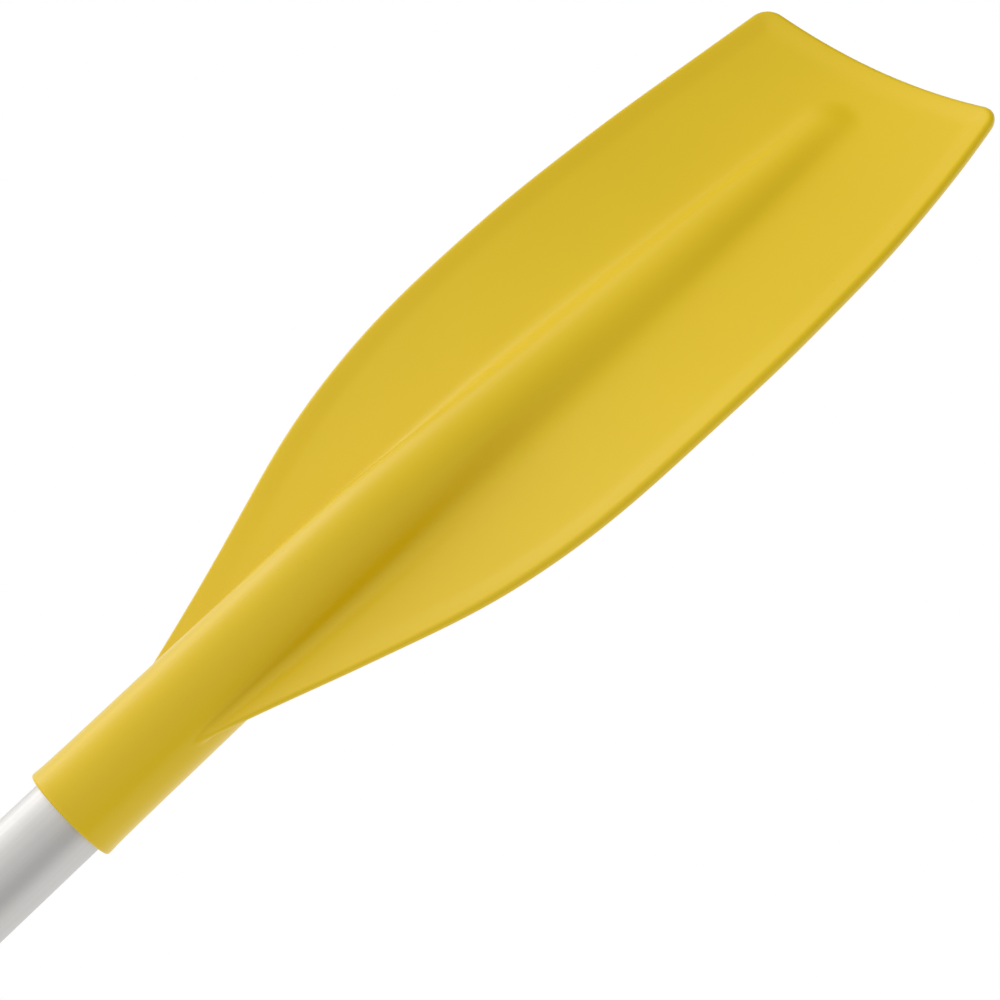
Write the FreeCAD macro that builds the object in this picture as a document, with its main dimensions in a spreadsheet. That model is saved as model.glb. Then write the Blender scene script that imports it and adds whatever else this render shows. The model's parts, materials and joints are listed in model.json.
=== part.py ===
import FreeCAD, Part
import Sketcher
import math
import os
from FreeCAD import Vector, Rotation, Placement

# Two-piece rowing oar: a moulded blade on a tube shaft that comes apart at a
# spigot joint, with a rowlock sleeve, a stop collar and a moulded grip.
#
# Frame: +X runs along the shaft towards the blade tip, +Z is the normal of the
# blade's hollow (front) face, +Y runs across the blade. The origin is on the
# shaft axis, at the middle of the rowlock journal. Millimetres throughout.

doc = FreeCAD.newDocument("rowing_oar")

# --------------------------------------------------------------------------
# Driving dimensions: alias, value, note
# --------------------------------------------------------------------------
SHEET = [
    # shaft tubes
    ("tube_dia", 35.0, "outside diameter of both shaft tubes"),
    ("tube_wall", 1.5, "wall of both shaft tubes"),
    ("handle_end", -477.0, "handle end of the inboard tube"),
    ("joint_x", 320.0, "where the two tubes butt together"),
    ("mouth_x", 636.0, "mouth of the blade's socket"),
    ("tube_in_socket", 120.0, "length of tube inside the socket"),
    ("edge_break", 0.8, "chamfer in the bore of the outboard tube, at the joint"),
    # spigot joint
    ("spigot_slack", 0.05, "radial clearance of the spigot in the tubes"),
    ("spigot_wall", 3.0, "wall of the spigot"),
    ("spigot_in", 90.0, "spigot length inside the inboard tube"),
    ("spigot_out", 90.0, "spigot length inside the outboard tube"),
    ("spigot_nose", 3.0, "lead-in on the spigot's free end"),
    ("ring_cord", 1.2, "cord of the joint's sealing ring"),
    ("ring_from_joint", 6.0, "sealing ring centre from the joint"),
    ("rivet_from_joint", 55.0, "spigot rivets from the joint"),
    # snap button
    ("button_from_joint", 14.0, "button axis from the joint"),
    ("button_dia", 8.0, "button diameter"),
    ("button_slack", 0.1, "radial clearance of the button in its holes"),
    ("button_top", 21.0, "button top above the shaft axis"),
    ("button_flange_dia", 10.8, "flange that keeps the button in"),
    ("button_flange_top", 11.6, "upper face of the flange above the axis"),
    ("button_flange_th", 1.0, "flange thickness"),
    ("spring_th", 0.6, "thickness of the leaf spring strip"),
    ("spring_width", 8.0, "width of the leaf spring strip"),
    ("spring_reach", 54.0, "bend of the leaf spring from the button"),
    ("spring_floor", -12.3, "underside of the leaf spring above the axis"),
    # rivets
    ("rivet_dia", 4.8, "shank of the large rivets"),
    ("rivet_slack", 0.05, "radial clearance of a rivet in its hole"),
    ("rivet_head_dia", 9.4, "head of the large rivets"),
    ("rivet_head_h", 1.3, "head height of the large rivets"),
    ("bulb_dia", 6.2, "blind end of the large rivets"),
    ("bulb_len", 3.0, "length of the blind end"),
    ("small_rivet_dia", 3.2, "shank of the sleeve rivets"),
    ("small_head_dia", 6.0, "countersunk head of the sleeve rivets"),
    # rowlock sleeve and its collar
    ("sleeve_slack", 0.05, "radial clearance of the sleeve on the tube"),
    ("sleeve_dia", 41.0, "outside diameter of the rowlock sleeve"),
    ("sleeve_start", -130.0, "inboard end of the sleeve"),
    ("sleeve_finish", 104.0, "outboard end of the sleeve"),
    ("journal_half", 80.0, "half length of the rowlock journal"),
    ("sleeve_groove", 1.0, "width of the marking groove"),
    ("sleeve_taper", 10.0, "length of the sleeve's tapered outboard end"),
    ("sleeve_rivet_x", 88.0, "sleeve rivets from the origin"),
    ("collar_slack", 0.05, "radial clearance of the collar on the sleeve"),
    ("collar_dia", 58.0, "outside diameter of the stop collar"),
    ("collar_start", -102.0, "inboard face of the stop collar"),
    ("collar_width", 20.0, "width of the stop collar"),
    ("collar_split", 3.0, "gap of the collar's split"),
    ("lug_width", 26.0, "width over the collar's two lugs"),
    ("lug_top", 40.0, "top of the lugs above the axis"),
    ("screw_height", 33.5, "clamp screw axis above the shaft axis"),
    ("screw_dia", 5.0, "clamp screw shank"),
    ("screw_hole_dia", 5.4, "clearance hole for the clamp screw"),
    ("screw_head_dia", 8.5, "clamp screw head"),
    ("screw_head_h", 5.0, "clamp screw head height"),
    ("hex_key", 4.0, "socket in the screw head"),
    ("washer_dia", 10.0, "washer outside diameter"),
    ("washer_th", 1.0, "washer thickness"),
    ("nut_flats", 8.0, "nut across the flats"),
    ("nut_h", 4.0, "nut height"),
    # grip, plugs and floats
    ("grip_dia", 41.0, "largest diameter of the grip"),
    ("grip_len", 128.0, "grip length"),
    ("grip_groove", 1.4, "depth of the grip's grooves"),
    ("grip_pitch", 9.0, "pitch of the grip's grooves"),
    ("grip_end_th", 5.0, "closed end of the grip"),
    ("plug_slack", 0.03, "radial clearance of a plug in a tube"),
    ("plug_len", 22.0, "length of a plug"),
    ("plug_flange_th", 1.5, "flange of an end plug"),
    ("plug_wall", 2.5, "wall of a cup-shaped plug"),
    ("float_slack", 0.3, "radial clearance of a foam float"),
    ("float_in_start", -430.0, "inboard float, handle end"),
    ("float_in_finish", -180.0, "inboard float, blade end"),
    ("float_out_start", 452.0, "outboard float, handle end"),
    ("float_out_finish", 652.0, "outboard float, blade end"),
    # blade
    ("socket_dia", 42.4, "outside diameter of the socket"),
    ("mouth_dia", 43.4, "outside diameter of the rolled mouth"),
    ("mouth_roll", 3.0, "length of the rolled mouth"),
    ("bore_slack", 0.05, "radial clearance of the tube in the socket"),
    ("bore_depth", 122.0, "depth of the socket's parallel bore"),
    ("core_dia", 32.0, "tapered core behind the bore, at the bore"),
    ("core_tip_dia", 7.0, "tapered core, at its far end"),
    ("core_end", 300.0, "far end of the tapered core from the mouth"),
    ("blade_length", 482.0, "mouth of the socket to the tip"),
    ("wing_start", 44.0, "where the wings leave the socket"),
    ("sheet_th", 3.2, "thickness of the blade sheet"),
    ("rim_width", 4.6, "width of the raised rim"),
    ("rim_rise", 0.9, "height of the rim above each face"),
    ("tip_corner", 10.7, "corner radius at the tip"),
    ("tip_dish", 10.0, "hollow of the blade at the tip"),
    ("blade_rivet_a", 42.0, "first blade rivet from the mouth"),
    ("blade_rivet_b", 84.0, "second blade rivet from the mouth"),
    ("rivet_seat", 20.3, "flat rivet seat from the axis"),
    ("rivet_seat_dia", 11.4, "diameter of the flat rivet seat"),
]
# Blade half width at equal steps from wing_start to the tip.
HALF_WIDTH = [17.0, 28.6, 41.6, 54.9, 67.3, 75.9, 81.0, 83.2, 84.0, 84.1, 82.9, 81.0, 77.7, 73.4, 68.0]
# Height of the blade's side edges (front face) above the shaft axis, over the same length.
EDGE_HEIGHT = [4.3, 3.5, 4.0, 5.1, 2.9, -0.9, -1.5]
# Spine sections: distance from the mouth, half width, front crest and back crest height.
SPINE = [
    (126.0, 21.20, 21.2, -21.2),
    (160.0, 21.05, 20.1, -20.8),
    (200.0, 20.20, 16.7, -19.6),
    (240.0, 18.50, 12.1, -17.9),
    (285.0, 16.10, 6.9, -16.6),
    (330.0, 13.50, 2.2, -16.2),
    (375.0, 10.80, -2.2, -16.4),
    (415.0, 8.10, -6.2, -17.0),
    (445.0, 5.60, -9.8, -17.0),
    (466.0, 3.20, -12.8, -16.2),
]
SPINE_COLUMNS = [("at", "from the mouth"), ("half", "half width"),
                 ("front", "front crest"), ("back", "back crest")]
for k, value in enumerate(HALF_WIDTH):
    SHEET.append(("half_width_%02d" % k, value, "blade half width, station %d" % k))
for k, value in enumerate(EDGE_HEIGHT):
    SHEET.append(("edge_height_%02d" % k, value, "blade edge height, station %d" % k))
for k, row in enumerate(SPINE):
    for (column, note), value in zip(SPINE_COLUMNS, row):
        SHEET.append(("spine_%s_%02d" % (column, k), value, "spine section %d, %s" % (k, note)))

sheet = doc.addObject("Spreadsheet::Sheet", "dims")
sheet.Label = "dims"
for line, (alias, value, note) in enumerate(SHEET, start=1):
    sheet.set("A%d" % line, alias.replace("_", " "))
    sheet.set("B%d" % line, "%g" % value)
    sheet.set("C%d" % line, note)
    sheet.setAlias("B%d" % line, alias)
doc.recompute()


class Dim:
    """A number together with the expression that drives it from the sheet."""

    def __init__(self, value, text):
        self.value = float(value)
        self.text = text

    @staticmethod
    def of(other):
        return other if isinstance(other, Dim) else Dim(other, "%.6f" % other)

    def __add__(self, other):
        other = Dim.of(other)
        return Dim(self.value + other.value, "(%s + %s)" % (self.text, other.text))

    def __sub__(self, other):
        other = Dim.of(other)
        return Dim(self.value - other.value, "(%s - %s)" % (self.text, other.text))

    def __mul__(self, other):
        other = Dim.of(other)
        return Dim(self.value * other.value, "(%s * %s)" % (self.text, other.text))

    def __truediv__(self, other):
        other = Dim.of(other)
        return Dim(self.value / other.value, "(%s / %s)" % (self.text, other.text))

    def __neg__(self):
        return Dim(-self.value, "(0 - %s)" % self.text)


def size(alias):
    """The plain number in the sheet."""
    return float(getattr(sheet, alias))


def dim(alias):
    return Dim(size(alias), "dims." + alias)


# --------------------------------------------------------------------------
# Primitives and booleans bound to the sheet
# --------------------------------------------------------------------------
ALONG_X = Rotation(Vector(0, 1, 0), 90)
ALONG_Y = Rotation(Vector(1, 0, 0), -90)
AGAINST_Y = Rotation(Vector(1, 0, 0), 90)
# Turns about +X, in degrees, that carry +Z to the named direction
PLUS_Z, MINUS_Z, PLUS_Y, MINUS_Y = 0.0, 180.0, -90.0, 90.0
SIDES = (PLUS_Y, MINUS_Y)


def drive(obj, prop, value):
    obj.setExpression(prop, Dim.of(value).text)


def place(obj, x=0.0, y=0.0, z=0.0, rotation=None):
    base = [Dim.of(x), Dim.of(y), Dim.of(z)]
    obj.Placement = Placement(Vector(*[value.value for value in base]), rotation or Rotation())
    for axis, value in zip("xyz", base):
        obj.setExpression("Placement.Base." + axis, value.text)
    return obj


def cylinder(name, length, radius):
    obj = doc.addObject("Part::Cylinder", name)
    drive(obj, "Radius", radius)
    drive(obj, "Height", length)
    return obj


def rod_x(name, x0, x1, radius):
    return place(cylinder(name, Dim.of(x1) - x0, radius), x0, 0.0, 0.0, ALONG_X)


def rod_y(name, y0, y1, radius, x, z):
    return place(cylinder(name, Dim.of(y1) - y0, radius), x, y0, z, ALONG_Y)


def block(name, x0, x1, y0, y1, z0, z1):
    obj = doc.addObject("Part::Box", name)
    drive(obj, "Length", Dim.of(x1) - x0)
    drive(obj, "Width", Dim.of(y1) - y0)
    drive(obj, "Height", Dim.of(z1) - z0)
    return place(obj, x0, y0, z0)


def radial(name, x, turn, low, high, radius, radius_high=None):
    """Cylinder (or cone) square to the shaft, from low to high off its axis."""
    low = Dim.of(low)
    length = Dim.of(high) - low
    if radius_high is None:
        obj = cylinder(name, length, radius)
    else:
        obj = doc.addObject("Part::Cone", name)
        drive(obj, "Radius1", radius)
        drive(obj, "Radius2", radius_high)
        drive(obj, "Height", length)
    angle = math.radians(turn)
    return place(obj, x, low * round(-math.sin(angle), 6), low * round(math.cos(angle), 6),
                 Rotation(Vector(1, 0, 0), turn))


def hole(name, x, turn, radius, low=10.0, high=25.0):
    """Tool for a hole through one wall."""
    return radial(name, x, turn, low, high, radius)


def hole_pair(name, tags, x, radius, low=10.0):
    """Tools for two opposite holes on the +Y and -Y sides."""
    return [hole(name + tag, x, turn, radius, low) for tag, turn in zip(tags, SIDES)]


def fuse(name, *shapes):
    obj = doc.addObject("Part::MultiFuse", name)
    obj.Shapes = list(shapes)
    obj.Refine = False
    return obj


def boolean(kind, name, base, tool):
    obj = doc.addObject(kind, name)
    obj.Base = base
    obj.Tool = tool
    obj.Refine = False
    return obj


def cut(name, base, *tools):
    tool = tools[0] if len(tools) == 1 else fuse(name + "_tools", *tools)
    return boolean("Part::Cut", name, base, tool)


def join(name, base, tool):
    return boolean("Part::Fuse", name, base, tool)


def common(name, base, tool):
    return boolean("Part::Common", name, base, tool)


# --------------------------------------------------------------------------
# PartDesign bodies from dimensioned sketches
# --------------------------------------------------------------------------
def plane_of(body, role):
    for feature in body.Origin.OriginFeatures:
        if feature.Role == role:
            return feature
    raise ValueError(role)


def sketch(body, role, points):
    """A closed polygon whose corners are dimensioned from the origin by the sheet."""
    profile = body.newObject("Sketcher::SketchObject", "Profile")
    profile.AttachmentSupport = [(plane_of(body, role), "")]
    profile.MapMode = "FlatFace"
    corners = [(Dim.of(a), Dim.of(b)) for a, b in points]
    spots = [Vector(a.value, b.value, 0) for a, b in corners]
    count = len(spots)
    for i in range(count):
        profile.addGeometry(Part.LineSegment(spots[i], spots[(i + 1) % count]), False)
    for i in range(count):
        profile.addConstraint(Sketcher.Constraint("Coincident", i, 2, (i + 1) % count, 1))
    for i, (a, b) in enumerate(corners):
        for kind, value, axis in (("DistanceX", a, -2), ("DistanceY", b, -1)):
            if abs(value.value) < 1e-9:
                # a zero distance is held by keeping the corner on the axis
                profile.addConstraint(Sketcher.Constraint("PointOnObject", i, 1, axis))
            else:
                index = profile.addConstraint(
                    Sketcher.Constraint(kind, -1, 1, i, 1, value.value))
                profile.setExpression("Constraints[%d]" % index, value.text)
    return profile


def turned(name, points, role="XY_Plane", axis="H_Axis"):
    """A body turned about the shaft axis; points are (x, radius)."""
    body = doc.addObject("PartDesign::Body", name)
    profile = sketch(body, role, points)
    feature = body.newObject("PartDesign::Revolution", "Turned")
    feature.Profile = profile
    feature.ReferenceAxis = (profile, [axis])
    feature.Angle = 360.0
    body.Tip = feature
    return body


def turned_about_z(name, points):
    """A body turned about its own Z axis; points are (radius, z)."""
    return turned(name, points, role="XZ_Plane", axis="V_Axis")


def padded(name, points, length, role="XZ_Plane"):
    """A body padded equally to both sides of its sketch plane."""
    body = doc.addObject("PartDesign::Body", name)
    profile = sketch(body, role, points)
    feature = body.newObject("PartDesign::Pad", "Padded")
    feature.Profile = profile
    # the symmetric option has a different name in older versions
    if "SideType" in feature.PropertiesList:
        feature.SideType = "Symmetric"
    else:
        feature.Midplane = True
    drive(feature, "Length", length)
    body.Tip = feature
    return body


# --------------------------------------------------------------------------
# Derived dimensions; "outer" and "inner" are radii
# --------------------------------------------------------------------------
tube_outer = dim("tube_dia") / 2
tube_inner = tube_outer - dim("tube_wall")
joint_x = dim("joint_x")
mouth_x = dim("mouth_x")
tube_end = mouth_x + dim("tube_in_socket")
button_x = joint_x + dim("button_from_joint")
button_r = dim("button_dia") / 2
button_hole_r = button_r + dim("button_slack")
flange_low = dim("button_flange_top") - dim("button_flange_th")
spigot_outer = tube_inner - dim("spigot_slack")
spigot_inner = spigot_outer - dim("spigot_wall")
spigot_start = joint_x - dim("spigot_in")
spigot_finish = joint_x + dim("spigot_out")
spigot_rivet_x = joint_x - dim("rivet_from_joint")
rivet_r = dim("rivet_dia") / 2
rivet_hole_r = rivet_r + dim("rivet_slack")
small_rivet_r = dim("small_rivet_dia") / 2
small_hole_r = small_rivet_r + dim("rivet_slack")
small_head_r = dim("small_head_dia") / 2
sleeve_rivet_x = dim("sleeve_rivet_x")
sleeve_inner = tube_outer + dim("sleeve_slack")
sleeve_outer = dim("sleeve_dia") / 2
blade_rivets_x = [mouth_x + dim("blade_rivet_a"), mouth_x + dim("blade_rivet_b")]


# --------------------------------------------------------------------------
# Shaft tubes
# --------------------------------------------------------------------------
JOINT_BREAK = 0.4  # chamfer outside both tubes where they butt


def inboard_tube():
    start = dim("handle_end")
    blank = turned("inboard_tube_blank", [
        (start, tube_inner), (start, tube_outer),
        (joint_x - JOINT_BREAK, tube_outer), (joint_x, tube_outer - JOINT_BREAK),
        (joint_x, tube_inner)])
    return cut("inboard_tube", blank,
               *hole_pair("inboard_hole_", "ab", spigot_rivet_x, rivet_hole_r),
               *hole_pair("inboard_hole_", "cd", sleeve_rivet_x, small_hole_r))


def outboard_tube():
    bore_break = dim("edge_break")
    blank = turned("outboard_tube_blank", [
        (joint_x + bore_break, tube_inner), (joint_x, tube_inner + bore_break),
        (joint_x, tube_outer - JOINT_BREAK), (joint_x + JOINT_BREAK, tube_outer),
        (tube_end, tube_outer), (tube_end, tube_inner)])
    return cut("outboard_tube", blank,
               hole("outboard_hole_button", button_x, PLUS_Z, button_hole_r),
               hole("outboard_hole_a", blade_rivets_x[0], MINUS_Z, rivet_hole_r),
               hole("outboard_hole_b", blade_rivets_x[1], MINUS_Z, rivet_hole_r))


# --------------------------------------------------------------------------
# Spigot joint: spigot, sealing ring and rivets
# --------------------------------------------------------------------------
ring_x = joint_x + dim("ring_from_joint")
ring_cord_r = dim("ring_cord") / 2
ring_centre_r = spigot_outer - ring_cord_r + 0.01  # stands just proud of the spigot


def joint_spigot():
    start_break = 0.8
    nose_drop = 1.4
    groove_floor = ring_centre_r - ring_cord_r - 0.02
    groove_half = ring_cord_r + 0.4
    hole_low = 5.0
    blank = turned("spigot_blank", [
        (spigot_start, spigot_inner), (spigot_start, spigot_outer - start_break),
        (spigot_start + start_break, spigot_outer),
        (ring_x - groove_half, spigot_outer), (ring_x - groove_half, groove_floor),
        (ring_x + groove_half, groove_floor), (ring_x + groove_half, spigot_outer),
        (spigot_finish - dim("spigot_nose"), spigot_outer),
        (spigot_finish, spigot_outer - nose_drop), (spigot_finish, spigot_inner)])
    return cut("joint_spigot", blank,
               hole("spigot_hole_button", button_x, PLUS_Z, button_hole_r, hole_low),
               *hole_pair("spigot_hole_", "ab", spigot_rivet_x, rivet_hole_r, hole_low))


def joint_seal_ring():
    ring = doc.addObject("Part::Torus", "joint_seal_ring")
    drive(ring, "Radius1", ring_centre_r)
    drive(ring, "Radius2", ring_cord_r)
    return place(ring, ring_x, 0.0, 0.0, ALONG_X)


def blind_rivet(name, x, turn, seat, wall_inner, on_tube=False):
    """Domed blind rivet: head outside seat, shank through, bulb inside wall_inner.

    With on_tube the head reaches down and is hollowed to sit on a tube of radius seat.
    """
    brim_h = 0.35
    saddle_depth = 0.7
    saddle_reach = 20.0
    crown_share = 0.55  # top of the head over its brim, by radius
    overlap = 0.2
    bulb_gap = 0.45
    bulb_share = 0.8  # blind tip over the shank, by radius
    recess_r, recess_depth, recess_over = 0.95, 0.5, 1.0

    head_r = dim("rivet_head_dia") / 2
    head_top = seat + dim("rivet_head_h")
    bulb_top = wall_inner - bulb_gap
    brim_low = seat - saddle_depth if on_tube else seat
    head = fuse(name + "_head_blank",
                radial(name + "_brim", x, turn, brim_low, seat + brim_h, head_r),
                radial(name + "_crown", x, turn, seat + brim_h, head_top,
                       head_r, head_r * crown_share))
    if on_tube:
        head = cut(name + "_head", head,
                   rod_x(name + "_saddle", x - saddle_reach, x + saddle_reach, seat))
    shank = radial(name + "_shank", x, turn, bulb_top - overlap, seat + overlap, rivet_r)
    bulb = radial(name + "_bulb", x, turn, bulb_top - dim("bulb_len"), bulb_top,
                  rivet_r * bulb_share, dim("bulb_dia") / 2)
    return cut(name, fuse(name + "_whole", head, shank, bulb),
               radial(name + "_recess", x, turn, head_top - recess_depth,
                      head_top + recess_over, recess_r))


def spigot_rivets():
    return fuse("spigot_rivets", *[
        blind_rivet("spigot_rivet_" + tag, spigot_rivet_x, turn, tube_outer, spigot_inner, True)
        for tag, turn in zip("ab", SIDES)])


# --------------------------------------------------------------------------
# Snap button and its leaf spring
# --------------------------------------------------------------------------
# Dome of the button: share of the button radius, drop below the top
BUTTON_DOME = [(0.0, 0.0), (0.42, 0.22), (0.74, 0.85), (0.93, 1.65), (1.0, 2.5)]


def snap_button():
    """Domed button whose stem passes through the spring and is headed below it."""
    stem_r = 1.5
    stem_head_r, stem_tip_r = 2.5, 2.1
    stem_head_top = flange_low - dim("spring_th") - 0.1
    stem_tip = flange_low - dim("spring_th") - 0.9
    flange_r = dim("button_flange_dia") / 2
    flange_top = dim("button_flange_top")
    dome = [(button_r * share, dim("button_top") - drop) for share, drop in BUTTON_DOME]
    button = turned_about_z("snap_button", dome + [
        (button_r, flange_top), (flange_r, flange_top), (flange_r, flange_low),
        (stem_r, flange_low), (stem_r, stem_head_top),
        (stem_head_r, stem_head_top), (stem_tip_r, stem_tip), (0.0, stem_tip)])
    return place(button, button_x)


def leaf_profile():
    """Side view of the V spring, with its origin on the button axis."""
    start_x = -8.0  # free ends of the tab and of the floor leg
    knee_x = 8.5  # where the tab's middle line turns down into the sloping leg
    bend_r = 2.3  # middle line of the far bend
    bend_steps = 8
    half_th = size("spring_th") / 2
    tab_z = size("button_flange_top") - size("button_flange_th") - half_th
    bend_x = size("spring_reach")
    bend_z = size("spring_floor") + half_th + bend_r
    reach = math.hypot(knee_x - bend_x, tab_z - bend_z)
    # direction of the normal to the sloping leg, which is tangent to the bend
    slope = math.atan2(tab_z - bend_z, knee_x - bend_x) - math.acos(bend_r / reach)
    normal_x, normal_z = math.cos(slope), math.sin(slope)

    def strip_side(offset):
        level = tab_z + offset
        leg = normal_x * knee_x + normal_z * tab_z + offset
        points = [(start_x, level), ((leg - normal_z * level) / normal_x, level)]
        radius = bend_r + offset
        for k in range(bend_steps + 1):
            angle = slope + (-math.pi / 2 - slope) * k / bend_steps
            points.append((bend_x + radius * math.cos(angle), bend_z + radius * math.sin(angle)))
        points.append((start_x, bend_z - radius))
        return points

    return strip_side(half_th) + strip_side(-half_th)[::-1]


def button_spring():
    stem_hole_r = 1.6
    blank = padded("button_spring_blank", leaf_profile(), dim("spring_width"))
    place(blank, button_x)
    return cut("button_spring", blank,
               hole("button_spring_hole", button_x, PLUS_Z, stem_hole_r,
                    flange_low - 3.0, flange_low + 1.0))


# --------------------------------------------------------------------------
# Rowlock sleeve and its rivets
# --------------------------------------------------------------------------
def rowlock_sleeve():
    start, finish = dim("sleeve_start"), dim("sleeve_finish")
    journal = dim("journal_half")
    groove = dim("sleeve_groove")
    groove_depth = 0.5
    outboard_outer = sleeve_outer - 0.12  # slightly thinner beyond the journal
    blank = turned("sleeve_blank", [
        # rounded inboard end
        (start, sleeve_inner), (start, sleeve_inner + 1.2),
        (start + 2.2, sleeve_outer - 0.6), (start + 3.6, sleeve_outer),
        # groove at the journal's inboard end
        (-journal - groove, sleeve_outer), (-journal - groove, sleeve_outer - groove_depth),
        (-journal, sleeve_outer - groove_depth), (-journal, sleeve_outer),
        # journal, then the tapered outboard end
        (journal, sleeve_outer), (journal + groove, outboard_outer),
        (finish - dim("sleeve_taper"), outboard_outer),
        (finish, sleeve_inner + 1.0), (finish, sleeve_inner)])
    tools = []
    for tag, turn in zip("ab", SIDES):
        tools.append(hole("sleeve_hole_" + tag, sleeve_rivet_x, turn, small_hole_r, 12.0))
        # countersink
        tools.append(radial("sleeve_sink_" + tag, sleeve_rivet_x, turn,
                            sleeve_outer - 1.7, sleeve_outer + 0.1,
                            small_hole_r + 0.05, small_head_r + 0.3))
    return cut("rowlock_sleeve", blank, *tools)


def sleeve_rivets():
    head_low, head_top = sleeve_outer - 1.6, sleeve_outer - 0.2
    shank_top = sleeve_outer - 0.5
    bulb_top = tube_inner - 0.3
    bulb_len = 2.2
    rivets = []
    for tag, turn in zip("ab", SIDES):
        rivets.append(fuse(
            "sleeve_rivet_" + tag,
            radial("sleeve_rivet_shank_" + tag, sleeve_rivet_x, turn,
                   bulb_top - 0.2, shank_top, small_rivet_r),
            radial("sleeve_rivet_head_" + tag, sleeve_rivet_x, turn,
                   head_low, head_top, small_rivet_r, small_head_r),
            radial("sleeve_rivet_bulb_" + tag, sleeve_rivet_x, turn,
                   bulb_top - bulb_len, bulb_top, small_rivet_r * 0.8, small_rivet_r * 1.35)))
    return fuse("sleeve_rivets", *rivets)


# --------------------------------------------------------------------------
# Stop collar with its clamp screw (head on the -Y side), washers and nut
# --------------------------------------------------------------------------
collar_start = dim("collar_start")
collar_finish = collar_start + dim("collar_width")
collar_mid = collar_start + dim("collar_width") / 2
lug_half = dim("lug_width") / 2
screw_z = dim("screw_height")
screw_r = dim("screw_dia") / 2
head_seat = -lug_half - dim("washer_th")
nut_seat = lug_half + dim("washer_th")
nut_finish = nut_seat + dim("nut_h")


def stop_collar():
    rim_break = 2.0
    bore_stock = 3.0  # left inside the ring for the bore to clear
    lug_break = 3.0
    lug_low = 20.0
    lug_inset = 2.0  # lugs are narrower than the ring by this much along X
    overrun = 5.0
    gap_low = 10.0
    screw_hole_half = 40.0
    inner = sleeve_outer + dim("collar_slack")
    outer = dim("collar_dia") / 2
    lug_top = dim("lug_top")
    split_half = dim("collar_split") / 2
    ring = turned("collar_ring", [
        (collar_start, inner - bore_stock), (collar_start, outer - rim_break),
        (collar_start + rim_break, outer), (collar_finish - rim_break, outer),
        (collar_finish, outer - rim_break), (collar_finish, inner - bore_stock)])
    lug = padded("collar_lug", [
        (-lug_half, lug_low), (lug_half, lug_low), (lug_half, lug_top - lug_break),
        (lug_half - lug_break, lug_top), (-lug_half + lug_break, lug_top),
        (-lug_half, lug_top - lug_break)], dim("collar_width") - lug_inset, role="YZ_Plane")
    place(lug, collar_mid)
    x0, x1 = collar_start - overrun, collar_finish + overrun
    return cut("stop_collar", fuse("collar_solid", ring, lug),
               rod_x("collar_bore", x0, x1, inner),
               block("collar_gap", x0, x1, -split_half, split_half, gap_low, lug_top + overrun),
               rod_y("collar_screw_hole", -screw_hole_half, screw_hole_half,
                     dim("screw_hole_dia") / 2, collar_mid, screw_z))


def washer(name, y0, y1):
    overrun = 2.0
    hole_r = screw_r + 0.15
    return cut(name, rod_y(name + "_disc", y0, y1, dim("washer_dia") / 2, collar_mid, screw_z),
               rod_y(name + "_hole", y0 - overrun, y1 + overrun, hole_r, collar_mid, screw_z))


def collar_washers():
    return fuse("collar_washers", washer("washer_head", head_seat, -lug_half),
                washer("washer_nut", lug_half, nut_seat))


def hexagon(name, flats, y0, y1):
    obj = doc.addObject("Part::Prism", name)
    obj.Polygon = 6
    drive(obj, "Circumradius", flats / (2 * math.cos(math.pi / 6)))
    drive(obj, "Height", y1 - y0)
    return place(obj, collar_mid, y0, screw_z, ALONG_Y)


def collar_screw():
    head_break = 0.5
    tip_break = 0.7
    past_nut = 2.2
    key_depth, key_overrun = 2.6, 1.0
    head_r = dim("screw_head_dia") / 2
    head_h = dim("screw_head_h")
    length = nut_finish - head_seat + past_nut
    head = turned_about_z("screw_head_blank", [
        (0.0, 0.0), (head_r, 0.0), (head_r, head_h - head_break),
        (head_r - head_break, head_h), (0.0, head_h)])
    place(head, collar_mid, head_seat, screw_z, AGAINST_Y)
    shank = turned_about_z("screw_shank_blank", [
        (0.0, 0.0), (screw_r, 0.0), (screw_r, length - tip_break),
        (screw_r - tip_break, length), (0.0, length)])
    place(shank, collar_mid, head_seat, screw_z, ALONG_Y)
    head_face = head_seat - head_h
    return cut("collar_screw", fuse("collar_screw_blank", head, shank),
               hexagon("collar_screw_key", dim("hex_key"),
                       head_face - key_overrun, head_face + key_depth))


def collar_nut():
    """Hexagon with its corners taken off by a chamfered disc."""
    corner_h = 0.35
    hole_overrun = 1.0
    nut_h = dim("nut_h")
    face_r = dim("nut_flats") / 2
    corner_r = face_r + 0.55
    chamfer = turned_about_z("nut_chamfer", [
        (0.0, 0.0), (face_r, 0.0), (corner_r, corner_h),
        (corner_r, nut_h - corner_h), (face_r, nut_h), (0.0, nut_h)])
    place(chamfer, collar_mid, nut_seat, screw_z, ALONG_Y)
    hex_prism = hexagon("collar_nut_hex", dim("nut_flats"), nut_seat, nut_finish)
    return cut("collar_nut", common("collar_nut_blank", hex_prism, chamfer),
               rod_y("collar_nut_hole", nut_seat - hole_overrun, nut_finish + hole_overrun,
                     screw_r + 0.02, collar_mid, screw_z))


# --------------------------------------------------------------------------
# Grip, plugs and floats
# --------------------------------------------------------------------------
flange_th = dim("plug_flange_th")
plug_r = tube_inner - dim("plug_slack")
plug_len = dim("plug_len")
plug_wall = dim("plug_wall")
# Rounded closed end of the grip: distance from the end, drop below the full radius
GRIP_END = [(0.0, 5.0), (0.9, 2.4), (2.6, 0.6), (5.0, 0.0)]


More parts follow.
